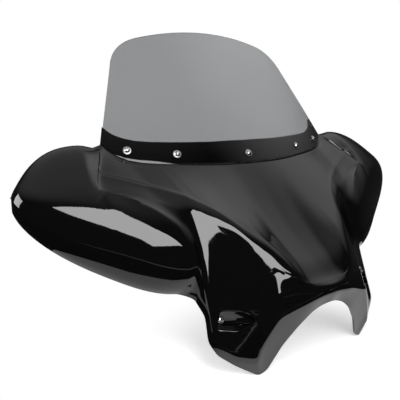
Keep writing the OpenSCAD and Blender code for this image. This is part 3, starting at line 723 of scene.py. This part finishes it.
for side in (1, -1):
    carve(shell, recess_cutter(side))
    carve(shell, pin("bolt_hole", side, BOLT_R + HOLE_GAP, -BOLT_DRILL - SEAT_TRIM, BOLT_DRILL))
    carve(shell, pin("washer_seat", side, LEG_WASHER_R + HOLE_GAP, -SEAT_TRIM, SEAT_CUT - SEAT_TRIM))
    carve(shell, pin("strap_room", side, STRAP_W / 2 + HOLE_GAP,
                     -SEAT_WALL - SEAT_TRIM - STRAP_ROOM, -SEAT_WALL - SEAT_TRIM, 64))
print("with recesses:", triangles(shell), "triangles")
# %% [markdown]
# Five screws hold the windshield, all the same distance in from its lower edge. Each goes through
# the sheet into a rubber nut, so the ledge gets a hole of the nut's size. The drills stand square
# to the bend, and one frame for each screw places its hole here and its head and washer later.
# %% Screw places and the holes for the rubber nuts
SCREW_IN, SCREW_OUT, SCREW_EDGE = 142, 222, 20
SCREW_R, NUT_R = 2.5, 4.9
DRILL_IN, DRILL_OUT = 40, 20


def lower_edge(x):
    """Level of the windshield's lower edge at x."""
    line = eased(SEAM_LINE, np.linspace(0, CORNER, 60), EASE_SEAM)
    return SHIELD_LOW + np.interp(abs(x), line[:, 0], line[:, 1])


screws = [(x, float(lower_edge(x)) + SCREW_EDGE)
          for x in (-SCREW_OUT, -SCREW_IN, 0, SCREW_IN, SCREW_OUT)]


def on_bend(x, h):
    """Frame on the windshield's face at a screw, with z out of the face."""
    lean = Matrix.Rotation(math.asin(x / SHIELD_R), 4, "Y")
    return (RAKED @ Matrix.Translation((0, h * MM, (SHIELD_N - SHIELD_R) * MM)) @ lean
            @ Matrix.Translation((0, 0, SHIELD_R * MM)))


def drill(name, x, h, radius, low, high):
    """A round cutter along a screw's axis."""
    bpy.ops.mesh.primitive_cylinder_add(vertices=48, radius=radius * MM, depth=(high - low) * MM)
    piece = named(name)
    piece.data.transform(on_bend(x, h) @ Matrix.Translation((0, 0, (low + high) / 2 * MM)))
    return piece


for x, h in screws:
    carve(shell, drill("nut_hole", x, h, NUT_R + HOLE_GAP, -DRILL_IN, DRILL_OUT))
print("shell has", triangles(shell), "triangles")
# %% [markdown]
# Polish rounds the edges of a moulding, and a rounded edge catches the light. Only the edges
# around the two recesses are bevelled here. They are found by their sharpness and by their
# distance from the recess. The pods' rims stay sharp: a bevel folds over itself on a thin rim.
# %% Break the shell's sharp edges
SHARP = 50
RECESS_REACH, RECESS_ROUND = 34, 0.8


def soften_recesses(piece):
    """Rounds the sharp edges around each leg's recess, as polish does, and leaves the thin rims."""
    edit(piece)
    bpy.ops.mesh.select_mode(type="EDGE")
    bpy.ops.mesh.select_all(action="DESELECT")
    bpy.ops.mesh.edges_select_sharp(sharpness=math.radians(SHARP))
    leave()
    mesh = piece.data
    sharp, ends = np.zeros(len(mesh.edges), bool), np.zeros(2 * len(mesh.edges), np.int32)
    places = np.zeros(3 * len(mesh.vertices), np.float32)
    mesh.edges.foreach_get("select", sharp)
    mesh.edges.foreach_get("vertices", ends)
    mesh.vertices.foreach_get("co", places)
    points = places.reshape(-1, 3)
    points[:, 0] = abs(points[:, 0])
    x, h = recess_tip + recess_dir * RECESS_L / 2
    middle = place(x, h, FACE_N - RECESS_DEPTH / 2)
    near = np.linalg.norm(points - middle, axis=1) < RECESS_REACH * MM
    chosen = sharp & near[ends.reshape(-1, 2)].all(axis=1)
    for elements in (mesh.vertices, mesh.polygons):
        elements.foreach_set("select", np.zeros(len(elements), bool))
    mesh.edges.foreach_set("select", chosen)
    print("recess edges to round:", int(chosen.sum()))
    bpy.ops.object.mode_set(mode="EDIT")
    bpy.ops.mesh.bevel(offset=RECESS_ROUND * MM, segments=2, clamp_overlap=False)
    bpy.ops.mesh.select_mode(type="VERT")
    leave()


soften_recesses(shell)
print("softened shell has", triangles(shell), "triangles")
finish_shading(shell, 35)
print("shell measures", [round(v / MM, 1) for v in shell.dimensions], "mm")
# %% [markdown]
# The windshield is cut from flat acrylic sheet and warmed over a former, so it is bent one way
# only. A grid is moved to its outline, and every point is then laid on the same bend as the
# ledge under it. Solidify gives the sheet, drills make the holes, and a small bevel stands for
# the flame-polished edge.
# %% Windshield's outline
SHIELD_FOOT = np.array([SHIELD_HALF, SHIELD_LOW + 84.0])
SHIELD_HEAD = np.array([204.0, SHIELD_TOP - 59.0])
SHOULDER = np.array([140.0, SHIELD_TOP - 11.0])
PEAK_REACH = 43.7


def windshield_outline(steps):
    """The top edge from the head of one side round to the other's, as points in x and h."""
    lift = (SHIELD_HEAD - SHIELD_FOOT) / np.linalg.norm(SHIELD_HEAD - SHIELD_FOOT)
    peak = SHIELD_HEAD + lift * PEAK_REACH
    t = np.linspace(0, 1, 40)[:, None]
    corner = SHIELD_HEAD * (1 - t) ** 2 + peak * (2 * t * (1 - t)) + SHOULDER * t * t
    x = np.linspace(SHOULDER[0], 0, 40)[1:]
    crown = np.stack([x, SHIELD_TOP - (SHIELD_TOP - SHOULDER[1]) * (x / SHOULDER[0]) ** 2], axis=1)
    right = np.concatenate([corner, crown])
    whole = np.concatenate([right, right[-2::-1] * (-1, 1)])
    run = np.concatenate([[0], np.cumsum(np.linalg.norm(np.diff(whole, axis=0), axis=1))])
    even = np.linspace(0, run[-1], steps)
    return np.stack([np.interp(even, run, whole[:, 0]), np.interp(even, run, whole[:, 1])], axis=1)


print("windshield's highest point", windshield_outline(121)[:, 1].max().round(1))
# %% Windshield
SHIELD_ROUND = 0.8


def soften(piece, width):
    """Rounds every sharp edge, as handling and trimming do."""
    modify(piece, "BEVEL", width=width * MM, segments=2, limit_method="ANGLE",
           angle_limit=math.radians(SHARP), use_clamp_overlap=False)


def windshield():
    columns, rows = 121, 49
    top = windshield_outline(columns)[::-1]
    low_x = np.linspace(-SHIELD_HALF, SHIELD_HALF, columns)
    low = np.stack([low_x, lower_edge(low_x)], axis=1)
    flat = mix(low[:, None], top[:, None], np.linspace(0, 1, rows)[None, :, None])
    points = place(flat[..., 0], flat[..., 1], bend(flat[..., 0]))
    piece = sheet_from("smoked_windshield", points)
    modify(piece, "SOLIDIFY", thickness=SHIELD_T * MM, offset=-1, use_even_offset=True, use_rim=True)
    for x, h in screws:
        carve(piece, drill("screw_hole", x, h, SCREW_R + 2 * HOLE_GAP, -DRILL_OUT, DRILL_OUT))
    soften(piece, SHIELD_ROUND)
    finish_shading(piece, 40)
    return piece


shield = windshield()
print("windshield:", triangles(shield), "triangles")
# %% [markdown]
# The screws are polished button heads with a hex socket. One is turned from a circle, ring by
# ring, the socket is pressed in with a six-sided cutter, and copies go to each place. A washer
# spreads the load on the acrylic, and a rubber nut behind it keeps the sheet from cracking.
# %% Turn a button screw
TIP_SHARE, TIP_SLOPE, HEAD_EDGE = 0.9, 0.5, 0.2
SOCKET_FLOOR = 0.4
SCREW_ROUND = 0.15


def button_screw(name, foot, rise, shank, grip, flats):
    """A screw at the origin, its head over z = 0: rings of one circle, extruded and scaled."""
    dome = (foot * foot + rise * rise) / (2 * rise)
    bpy.ops.mesh.primitive_circle_add(vertices=48, radius=shank * MM * TIP_SHARE,
                                      fill_type="NGON", location=(0, 0, -grip * MM))
    piece = named(name)
    edit(piece)
    radius, level = shank * TIP_SHARE, -grip
    rings = [(shank, -grip + TIP_SLOPE), (shank, 0), (foot - HEAD_EDGE, 0), (foot, HEAD_EDGE)]
    angles = np.linspace(math.asin(foot / dome), 0, 9)[1:-1]
    rings += [(dome * math.sin(a), dome * math.cos(a) - dome + rise) for a in angles]
    for ring, height in rings:
        scale = ring / radius
        step = (0, 0, (height - level) * MM)
        bpy.ops.mesh.extrude_region_move(TRANSFORM_OT_translate={"value": step})
        bpy.ops.transform.resize(value=(scale, scale, 1), center_override=(0, 0, height * MM))
        radius, level = ring, height
    bpy.ops.mesh.select_all(action="SELECT")
    bpy.ops.mesh.normals_make_consistent(inside=False)
    leave()
    floor = (0, 0, (rise * SOCKET_FLOOR + rise / 2) * MM)
    bpy.ops.mesh.primitive_cylinder_add(vertices=6, radius=flats / math.sqrt(3) * MM,
                                        depth=rise * MM, location=floor)
    socket = named("socket")
    socket.data.transform(Matrix.Translation(socket.location))
    socket.location = (0, 0, 0)
    carve(piece, socket)
    soften(piece, SCREW_ROUND)
    finish_shading(piece, 40)
    return piece


TOUCH, NUT_L, SHORT_OF_NUT = 0.05, 11, 2
HEAD_R, HEAD_RISE, SOCKET_W = 5.2, 3, 3
WASHER_R, WASHER_T = 7, 1.2
GRIP = WASHER_T + TOUCH + SHIELD_T + LEDGE_GAP + WALL + NUT_L - SHORT_OF_NUT
screw_model = button_screw("screw_model", HEAD_R, HEAD_RISE, SCREW_R, GRIP, SOCKET_W)
print("one screw of", triangles(screw_model), "triangles, shank", round(GRIP, 2), "mm")
# %% Screws and washers in their places
RING_PLAY, RING_ROUND = 0.2, 0.25
SCREW_TURN = 0.7


def seated(piece, matrix):
    """Puts the piece where it belongs, with its place in its mesh."""
    pick(piece)
    bpy.ops.object.transform_apply(location=True, rotation=True, scale=True)
    piece.data.transform(matrix)
    piece.data.update()
    return piece


def plain_ring(name, outer, inner, thickness):
    """A flat washer at the origin from z = 0 up: a disc with a drilled hole and broken edges."""
    bpy.ops.mesh.primitive_cylinder_add(vertices=64, radius=outer * MM, depth=thickness * MM,
                                        location=(0, 0, thickness / 2 * MM))
    piece = seated(named(name), Matrix.Identity(4))
    bpy.ops.mesh.primitive_cylinder_add(vertices=64, radius=inner * MM, depth=4 * thickness * MM)
    carve(piece, named("bore"))
    soften(piece, RING_ROUND)
    finish_shading(piece, 40)
    return piece


def copy_of(piece, name):
    twin = piece.copy()
    twin.data = piece.data.copy()
    twin.name = twin.data.name = name
    bpy.context.scene.collection.objects.link(twin)
    return twin


washer_model = plain_ring("washer_model", WASHER_R, SCREW_R + RING_PLAY, WASHER_T)
dressed = {}
for k, (x, h) in enumerate(screws, 1):
    seat = on_bend(x, h) @ Matrix.Translation((0, 0, TOUCH * MM))
    head = (seat @ Matrix.Translation((0, 0, WASHER_T * MM))
            @ Matrix.Rotation(SCREW_TURN * k, 4, "Z"))
    dressed[f"shield_washer_{k}"] = seated(copy_of(washer_model, f"washer_{k}"), seat)
    dressed[f"shield_screw_{k}"] = seated(copy_of(screw_model, f"button_screw_{k}"), head)
print(len(screws), "screws and washers in place")
# %% [markdown]
# Each leg is bolted to its fork strap at the blunt end of the recess. The bolt is a button screw
# too, in another size, so the same two functions turn it and its washer. The four models have
# done their work after that and are thrown away.
# %% Leg bolts and their washers
BOLT_HEAD_R, BOLT_HEAD_RISE, BOLT_SOCKET_W = 5, 3.2, 4
LEG_NUT_H, PAST_NUT = 5, 2
LEG_GRIP = LEG_WASHER_T + SEAT_WALL + STRAP_T + LEG_NUT_H + PAST_NUT
bolt_model = button_screw("bolt_model", BOLT_HEAD_R, BOLT_HEAD_RISE, BOLT_R, LEG_GRIP, BOLT_SOCKET_W)
leg_ring_model = plain_ring("leg_ring_model", LEG_WASHER_R, BOLT_R + RING_PLAY, LEG_WASHER_T)
for side, word in ((-1, "left"), (1, "right")):
    ring_at, bolt_at = bolt_frame(side, -SEAT_TRIM), bolt_frame(side, LEG_WASHER_T - SEAT_TRIM)
    dressed[f"leg_washer_{word}"] = seated(copy_of(leg_ring_model, f"leg_ring_{word}"), ring_at)
    dressed[f"leg_bolt_{word}"] = seated(copy_of(bolt_model, f"leg_button_{word}"), bolt_at)
for model in (screw_model, washer_model, bolt_model, leg_ring_model):
    bpy.data.objects.remove(model, do_unlink=True)
print("two leg bolts and washers")
# %% [markdown]
# Every opaque finish here has three parts: a colour, a gloss that varies a little from place to
# place, and a fine relief in its skin. One function makes all three. Its patterns are sized in
# millimetres on the object, so they stay the same whatever the size of the piece.
# %% Finishes
def pattern(tree, size_mm, detail):
    """A cloudy pattern between 0 and 1, with features of about the given size in millimetres."""
    on_piece = add_node(tree, "ShaderNodeTexCoord").outputs["Object"]
    scaled = add_node(tree, "ShaderNodeMapping", values={"Scale": (1 / (size_mm * MM),) * 3},
                      links={"Vector": on_piece})
    clouds = add_node(tree, "ShaderNodeTexNoise", values={"Scale": 1.0, "Detail": detail},
                      links={"Vector": scaled.outputs["Vector"]})
    return clouds.outputs["Fac"]


def finish(name, colour, gloss, skin, ior=None, metallic=0.0):
    """A finish from its colour, its gloss and its skin. Gloss is a pattern's size, its detail and
    the lowest and highest roughness; skin is a pattern's size, its detail and the relief's depth."""
    material, tree, shader = new_material(name)
    shader.inputs["Base Color"].default_value = linear(colour)
    shader.inputs["Metallic"].default_value = metallic
    if ior:
        shader.inputs["IOR"].default_value = ior
    size, detail, low, high = gloss
    spread = add_node(tree, "ShaderNodeMapRange", values={"To Min": low, "To Max": high},
                      links={"Value": pattern(tree, size, detail)})
    size, detail, depth = skin
    bump = add_node(tree, "ShaderNodeBump", values={"Strength": 1.0, "Distance": depth * MM},
                    links={"Height": pattern(tree, size, detail)})
    tree.links.new(spread.outputs["Result"], shader.inputs["Roughness"])
    tree.links.new(bump.outputs["Normal"], shader.inputs["Normal"])
    return material


print("grey #808080 is linear", [round(c, 3) for c in linear("#808080")])
# %% [markdown]
# The shell is injection-moulded ABS under a clear automotive gloss. Black plastic shows almost no
# colour of its own: what the eye reads is the room mirrored in it, about four hundredths as
# bright. So its base is nearly black, its gloss nearly a mirror, and only a faint ripple and a
# little variation in the polish break the reflections, as orange peel does on real paint. No
# polish reaches the side away from the mould's face, so that has a fine grain, satin and greyer.
# %% Gloss black ABS
LOOKS_BACK = 0.3


def two_finishes(piece, outer, inner):
    """Fills the two slots; faces that a cutter left go to the side they look at."""
    for face in piece.data.polygons:
        if face.material_index > INNER_SLOT:
            face.material_index = OUTER_SLOT if face.normal.y < LOOKS_BACK else INNER_SLOT
    while len(piece.data.materials) > 2:
        piece.data.materials.pop(index=len(piece.data.materials) - 1)
    piece.data.materials[OUTER_SLOT] = outer
    piece.data.materials[INNER_SLOT] = inner


two_finishes(
    shell,
    finish("gloss_black_abs", "#050506", (60.0, 2.0, 0.025, 0.055), (9.0, 1.0, 0.02), ior=1.53),
    finish("moulded_black_abs", "#151516", (30.0, 2.0, 0.42, 0.56), (1.4, 3.0, 0.08), ior=1.53))
print("shell finishes:", [m.name for m in shell.data.materials])
# %% [markdown]
# The windshield is cast acrylic with a grey dye right through it. Light crosses two faces on its
# way through, and the dye takes a share at each, so the base colour is chosen for the tone that
# both together leave. The refractive index of acrylic is 1.49.
# %% Smoked acrylic
def smoked_acrylic():
    material, tree, shader = new_material("smoked_acrylic")
    shader.inputs["Transmission Weight"].default_value = 1.0
    shader.inputs["IOR"].default_value = 1.49
    shader.inputs["Roughness"].default_value = 0.0
    dye = add_node(tree, "ShaderNodeMix", {"data_type": "RGBA"},
                   links={"Factor": pattern(tree, 120.0, 2.0)})
    dye.inputs["A"].default_value = linear("#8f9092")
    dye.inputs["B"].default_value = linear("#949597")
    tree.links.new(dye.outputs["Result"], shader.inputs["Base Color"])
    return material


def one_finish(piece, material):
    piece.data.materials.clear()
    piece.data.materials.append(material)
    piece.data.polygons.foreach_set("material_index", [0] * len(piece.data.polygons))


one_finish(shield, smoked_acrylic())
print("windshield finish:", shield.data.materials[0].name)
# %% [markdown]
# The small metal parts are polished stainless or zinc-plated steel, so they are metals with a
# light grey base, and fine turning and plating marks vary their gloss. The rubber nuts are matte
# and nearly black. The straps wear a satin powder coat with its usual fine orange-peel skin. The
# real marks and grains are too fine to show, so all of them are drawn about a millimetre wide.
# %% Metals, rubber and powder coat
stainless = finish("polished_stainless", "#cfd0d2", (1.2, 3.0, 0.12, 0.22), (0.8, 2.0, 0.01),
                   metallic=1.0)
zinc = finish("zinc_plate", "#b4b6b8", (2.5, 4.0, 0.28, 0.45), (1.0, 3.0, 0.02), metallic=1.0)
rubber = finish("moulded_rubber", "#131313", (5.0, 2.0, 0.7, 0.85), (0.7, 3.0, 0.05), ior=1.52)
coat = finish("satin_powder_coat", "#1c1c1e", (12.0, 2.0, 0.36, 0.48), (1.1, 2.0, 0.06), ior=1.5)
finishes = {"shield_screw": stainless, "leg_bolt": stainless, "shield_washer": zinc,
            "leg_washer": zinc, "leg_nut": zinc, "shield_nut": rubber, "mount_bracket": coat}


def family(node):
    return next(name for name in finishes if node.startswith(name))


for node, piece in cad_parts.items():
    if node not in ("shell", "windshield") and node not in dressed:
        one_finish(piece, finishes[family(node)])
        print(node, "keeps its solid in", finishes[family(node)].name)
# %% [markdown]
# Each finished piece now takes the place of its solid. It rides on the same body, its solid is
# hidden, and the small pieces get their finishes. The nuts and
# the straps aren't in this list, because they keep their solids.
# %% Fit the pieces into the frame
dressed["shell"], dressed["windshield"] = shell, shield
for node, piece in dressed.items():
    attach(piece, "root")
    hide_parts(node)
    if node == "shell":
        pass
    elif node == "windshield":
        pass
    else:
        one_finish(piece, finishes[family(node)])
print(len(dressed), "pieces dressed")
# %% [markdown]
# Gloss black is lit by what it mirrors. In a product studio that is a white board under the part,
# a few softboxes, and cloth all around. The board comes first. It takes the part's shadow, its
# own glow is added only where an eye looks, and a little way from the part it turns into the
# plain white of the background, so that no edge or horizon shows.
# %% White board
FLOOR_R = 6.0
BOARD_GLOW = 0.42
BOARD_FADE = 0.15, 0.30
FEET = (-0.03, -0.06, -0.089)


def stage_material(name, build):
    material = bpy.data.materials.new(name)
    material.use_nodes = True
    tree = material.node_tree
    tree.nodes.clear()
    add_node(tree, "ShaderNodeOutputMaterial", links={"Surface": build(tree)})
    return material


def seen_by_eye(tree):
    """1 for what the camera sees, also in a mirror or through glass, and 0 for light on things."""
    path = add_node(tree, "ShaderNodeLightPath")
    some = add_node(tree, "ShaderNodeMath", {"operation": "MAXIMUM"},
                    links={0: path.outputs["Is Camera Ray"], 1: path.outputs["Is Transmission Ray"]})
    every = add_node(tree, "ShaderNodeMath", {"operation": "MAXIMUM"},
                     links={0: some.outputs[0], 1: path.outputs["Is Glossy Ray"]})
    return every.outputs[0]


def by_distance(tree, middle, near, far, inside, outside):
    """A value that changes softly from inside to outside with the distance from a place."""
    on_piece = add_node(tree, "ShaderNodeTexCoord").outputs["Object"]
    away = add_node(tree, "ShaderNodeVectorMath", {"operation": "DISTANCE"}, {1: middle},
                    {0: on_piece})
    value = add_node(tree, "ShaderNodeMapRange", {"interpolation_type": "SMOOTHSTEP"},
                     {"From Min": near, "From Max": far, "To Min": inside, "To Max": outside},
                     {"Value": away.outputs["Value"]})
    return value.outputs["Result"]


def board_surface(tree):
    """White board that takes the part's shadow and turns into the white background around it."""
    looked = seen_by_eye(tree)
    board = add_node(tree, "ShaderNodeBsdfDiffuse", values={"Color": linear("#f2f2f2")})
    own = add_node(tree, "ShaderNodeMath", {"operation": "MULTIPLY"}, {1: BOARD_GLOW}, {0: looked})
    glow = add_node(tree, "ShaderNodeEmission", links={"Strength": own.outputs[0]})
    near = add_node(tree, "ShaderNodeAddShader", links={0: board.outputs[0], 1: glow.outputs[0]})
    fade = add_node(tree, "ShaderNodeMath", {"operation": "MULTIPLY"},
                    links={0: looked, 1: by_distance(tree, FEET, *BOARD_FADE, 0, 1)})
    white = add_node(tree, "ShaderNodeEmission", values={"Color": (1, 1, 1, 1)})
    both = add_node(tree, "ShaderNodeMixShader",
                    links={0: fade.outputs[0], 1: near.outputs[0], 2: white.outputs[0]})
    return both.outputs[0]


def add_table(level):
    bpy.ops.mesh.primitive_circle_add(vertices=96, radius=FLOOR_R, fill_type="NGON")
    table = named("table")
    table.data.transform(Matrix.Translation((0, 0, level)))
    table.data.materials.append(stage_material("white_board", board_surface))


table_level = min(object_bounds()[0].z, cad_low.z)
add_table(table_level)
print("table at", round(table_level / MM, 1), "mm")
# %% [markdown]
# Black paper lies on the board outside an oval around the part. Only mirrors see it. It keeps
# the undersides of the gloss dark, and it changes no shadow and no light.
# %% Black paper
PAPER_X, PAPER_Y, PAPER_REACH = 0.5, 0.35, 4
PAPER_AT = (0, 0.1)
PAPER_LIFT, PAPER_GLOW = 0.5, 0.02


def only_in_mirrors(piece, through_glass=False):
    """Hides a studio prop from all but mirrors, and lets glass show it where that is asked."""
    for ray in ("camera", "diffuse", "shadow", "volume_scatter"):
        setattr(piece, "visible_" + ray, False)
    piece.visible_transmission = through_glass


def paper_surface(tree):
    """Almost black, and even, whatever lamp stands over it."""
    return add_node(tree, "ShaderNodeEmission", values={"Strength": PAPER_GLOW}).outputs[0]


def add_paper(level):
    """A flat oval ring: a circle is extruded where it stands and the new rim is scaled out."""
    bpy.ops.mesh.primitive_circle_add(vertices=96, radius=1, fill_type="NOTHING")
    paper = named("black_paper")
    edit(paper)
    bpy.ops.mesh.extrude_region_move(TRANSFORM_OT_translate={"value": (0, 0, 0)})
    bpy.ops.transform.resize(value=(PAPER_REACH, PAPER_REACH, 1), center_override=(0, 0, 0))
    bpy.ops.mesh.select_all(action="SELECT")
    bpy.ops.transform.resize(value=(PAPER_X, PAPER_Y, 1), center_override=(0, 0, 0))
    leave()
    paper.data.transform(Matrix.Translation((*PAPER_AT, level + PAPER_LIFT * MM)))
    paper.data.materials.append(stage_material("black_paper", paper_surface))
    only_in_mirrors(paper)


add_paper(table_level)
print("paper starts", PAPER_X, "and", PAPER_Y, "m from its middle")
# %% [markdown]
# The cloth is two halves of a sphere, and though it is no lamp it glows: all its tone is emitted
# light, a painted reflection that only mirrors see. The glow is nearly nil at the camera's side and
# stronger towards the ceiling and the back, with one soft brighter patch high on the right in place
# of a side lamp. It has to show in the gloss but must not dim the windshield, so it is clear until a
# ray of sight has met its first mirror. Light Path counts those mirrors as its Glossy Depth.
# %% Cloth around the part
DOME_R = 1.6
CLOTH_LEAN = 0.35
CLOTH_FADE = 0.70 * DOME_R, 0.98 * DOME_R
# Strengths of the cloth's emitted glow, its painted light, at the camera's side and high up.
CLOTH_GLOW_LOW, CLOTH_GLOW_HIGH = 0.03, 0.43
GLOW_AT = (math.radians(100), math.radians(52))
GLOW_FADE = 0.15, 0.95
GLOW = 0.8


def glowing_cloth_surface(tree):
    """Painted reflection light: a glow nearly nil at the camera's side, stronger towards the ceiling
    and the back, and brighter at one side.
    """
    on_piece = add_node(tree, "ShaderNodeTexCoord").outputs["Object"]
    axes = add_node(tree, "ShaderNodeSeparateXYZ", links={"Vector": on_piece})
    lean = add_node(tree, "ShaderNodeMath", {"operation": "MULTIPLY_ADD"}, {1: CLOTH_LEAN},
                    {0: axes.outputs["Y"], 2: axes.outputs["Z"]})
    # The cloth's painted light: its glow grows with height and towards the back.
    height_glow = add_node(tree, "ShaderNodeMapRange", {"interpolation_type": "SMOOTHSTEP"},
                     {"From Min": CLOTH_FADE[0], "From Max": CLOTH_FADE[1],
                      "To Min": CLOTH_GLOW_LOW, "To Max": CLOTH_GLOW_HIGH}, {"Value": lean.outputs[0]})
    glow = by_distance(tree, outward(*GLOW_AT) * DOME_R, *GLOW_FADE, GLOW, 0)
    total = add_node(tree, "ShaderNodeMath", {"operation": "ADD"},
                     links={0: height_glow.outputs["Result"], 1: glow})
    lit = add_node(tree, "ShaderNodeEmission", links={"Strength": total.outputs[0]})
    depth = add_node(tree, "ShaderNodeLightPath").outputs["Glossy Depth"]
    met = add_node(tree, "ShaderNodeMath", {"operation": "GREATER_THAN"}, {1: 0.5}, {0: depth})
    clear = add_node(tree, "ShaderNodeBsdfTransparent")
    both = add_node(tree, "ShaderNodeMixShader",
                    links={0: met.outputs[0], 1: clear.outputs[0], 2: lit.outputs[0]})
    return both.outputs[0]


def add_cloth(name, side, material):
    """Half a sphere of cloth, in front (side -1) or behind (side 1)."""
    bpy.ops.mesh.primitive_uv_sphere_add(segments=64, ring_count=32, radius=DOME_R)
    cloth = named(name)
    edit(cloth)
    bpy.ops.mesh.select_mode(type="FACE")
    bpy.ops.mesh.select_all(action="DESELECT")
    leave()
    cloth.data.polygons.foreach_set("select", [f.center.y * side < 0 for f in cloth.data.polygons])
    bpy.ops.object.mode_set(mode="EDIT")
    bpy.ops.mesh.delete(type="FACE")
    bpy.ops.mesh.select_mode(type="VERT")
    leave()
    cloth.data.materials.append(material)
    only_in_mirrors(cloth, through_glass=True)


glowing_cloth_material = stage_material("cloth", glowing_cloth_surface)
add_cloth("back_cloth", 1, glowing_cloth_material)
add_cloth("front_cloth", -1, glowing_cloth_material)
print("cloth of radius", DOME_R, "m")
# %% [markdown]
# The world is white wherever an eye looks, also in a mirror or through glass, and that is the
# plain background. To everything else it is an even grey, which fills the shadows.
# %% World
WORLD_FILL = 0.45


def add_world():
    """White to the eye; a plain grey light to everything else."""
    world = bpy.data.worlds.new("studio")
    bpy.context.scene.world = world
    world.use_nodes = True
    tree = world.node_tree
    tree.nodes.clear()
    fill, white = [add_node(tree, "ShaderNodeBackground",
                            values={"Color": (1, 1, 1, 1), "Strength": strength}).outputs[0]
                   for strength in (WORLD_FILL, 1.0)]
    both = add_node(tree, "ShaderNodeMixShader", links={0: seen_by_eye(tree), 1: fill, 2: white})
    add_node(tree, "ShaderNodeOutputWorld", links={"Surface": both.outputs[0]})


add_world()
bpy.context.scene.view_settings.view_transform = "Standard"
print("world:", bpy.context.scene.world.name)
# %% [markdown]
# Two softboxes draw the highlights. The key lamp hangs high near the camera and gives the long
# bands. The other stands close on the left and gives the near pod its bright streak. A lamp's
# power follows from its size and the brightness it should show in a mirror.
# %% Softboxes
def softbox(name, azimuth, elevation, distance, width, height, radiance, spin=0, aim=(0, 0, 0.1)):
    """A rectangular lamp seen from the part in a direction, with its brightness as seen."""
    lamp = bpy.data.lights.new(name, "AREA")
    lamp.shape = "RECTANGLE"
    lamp.size, lamp.size_y = width, height
    lamp.energy = radiance * math.pi * width * height
    at = Vector(aim) + outward(math.radians(azimuth), math.radians(elevation)) * distance
    piece = bpy.data.objects.new(name, lamp)
    bpy.context.scene.collection.objects.link(piece)
    turn = (at - Vector(aim)).to_track_quat("Z", "Y")
    piece.matrix_world = (Matrix.Translation(at) @ turn.to_matrix().to_4x4()
                          @ Matrix.Rotation(math.radians(spin), 4, "Z"))
    piece.visible_camera = False


softbox("key", azimuth=-24, elevation=42, distance=1.1, width=0.5, height=0.8, radiance=8, spin=28)
softbox("left_box", azimuth=-105, elevation=36, distance=0.8, width=0.42, height=0.42, radiance=8,
        aim=(-0.4, 0.13, 0.14))
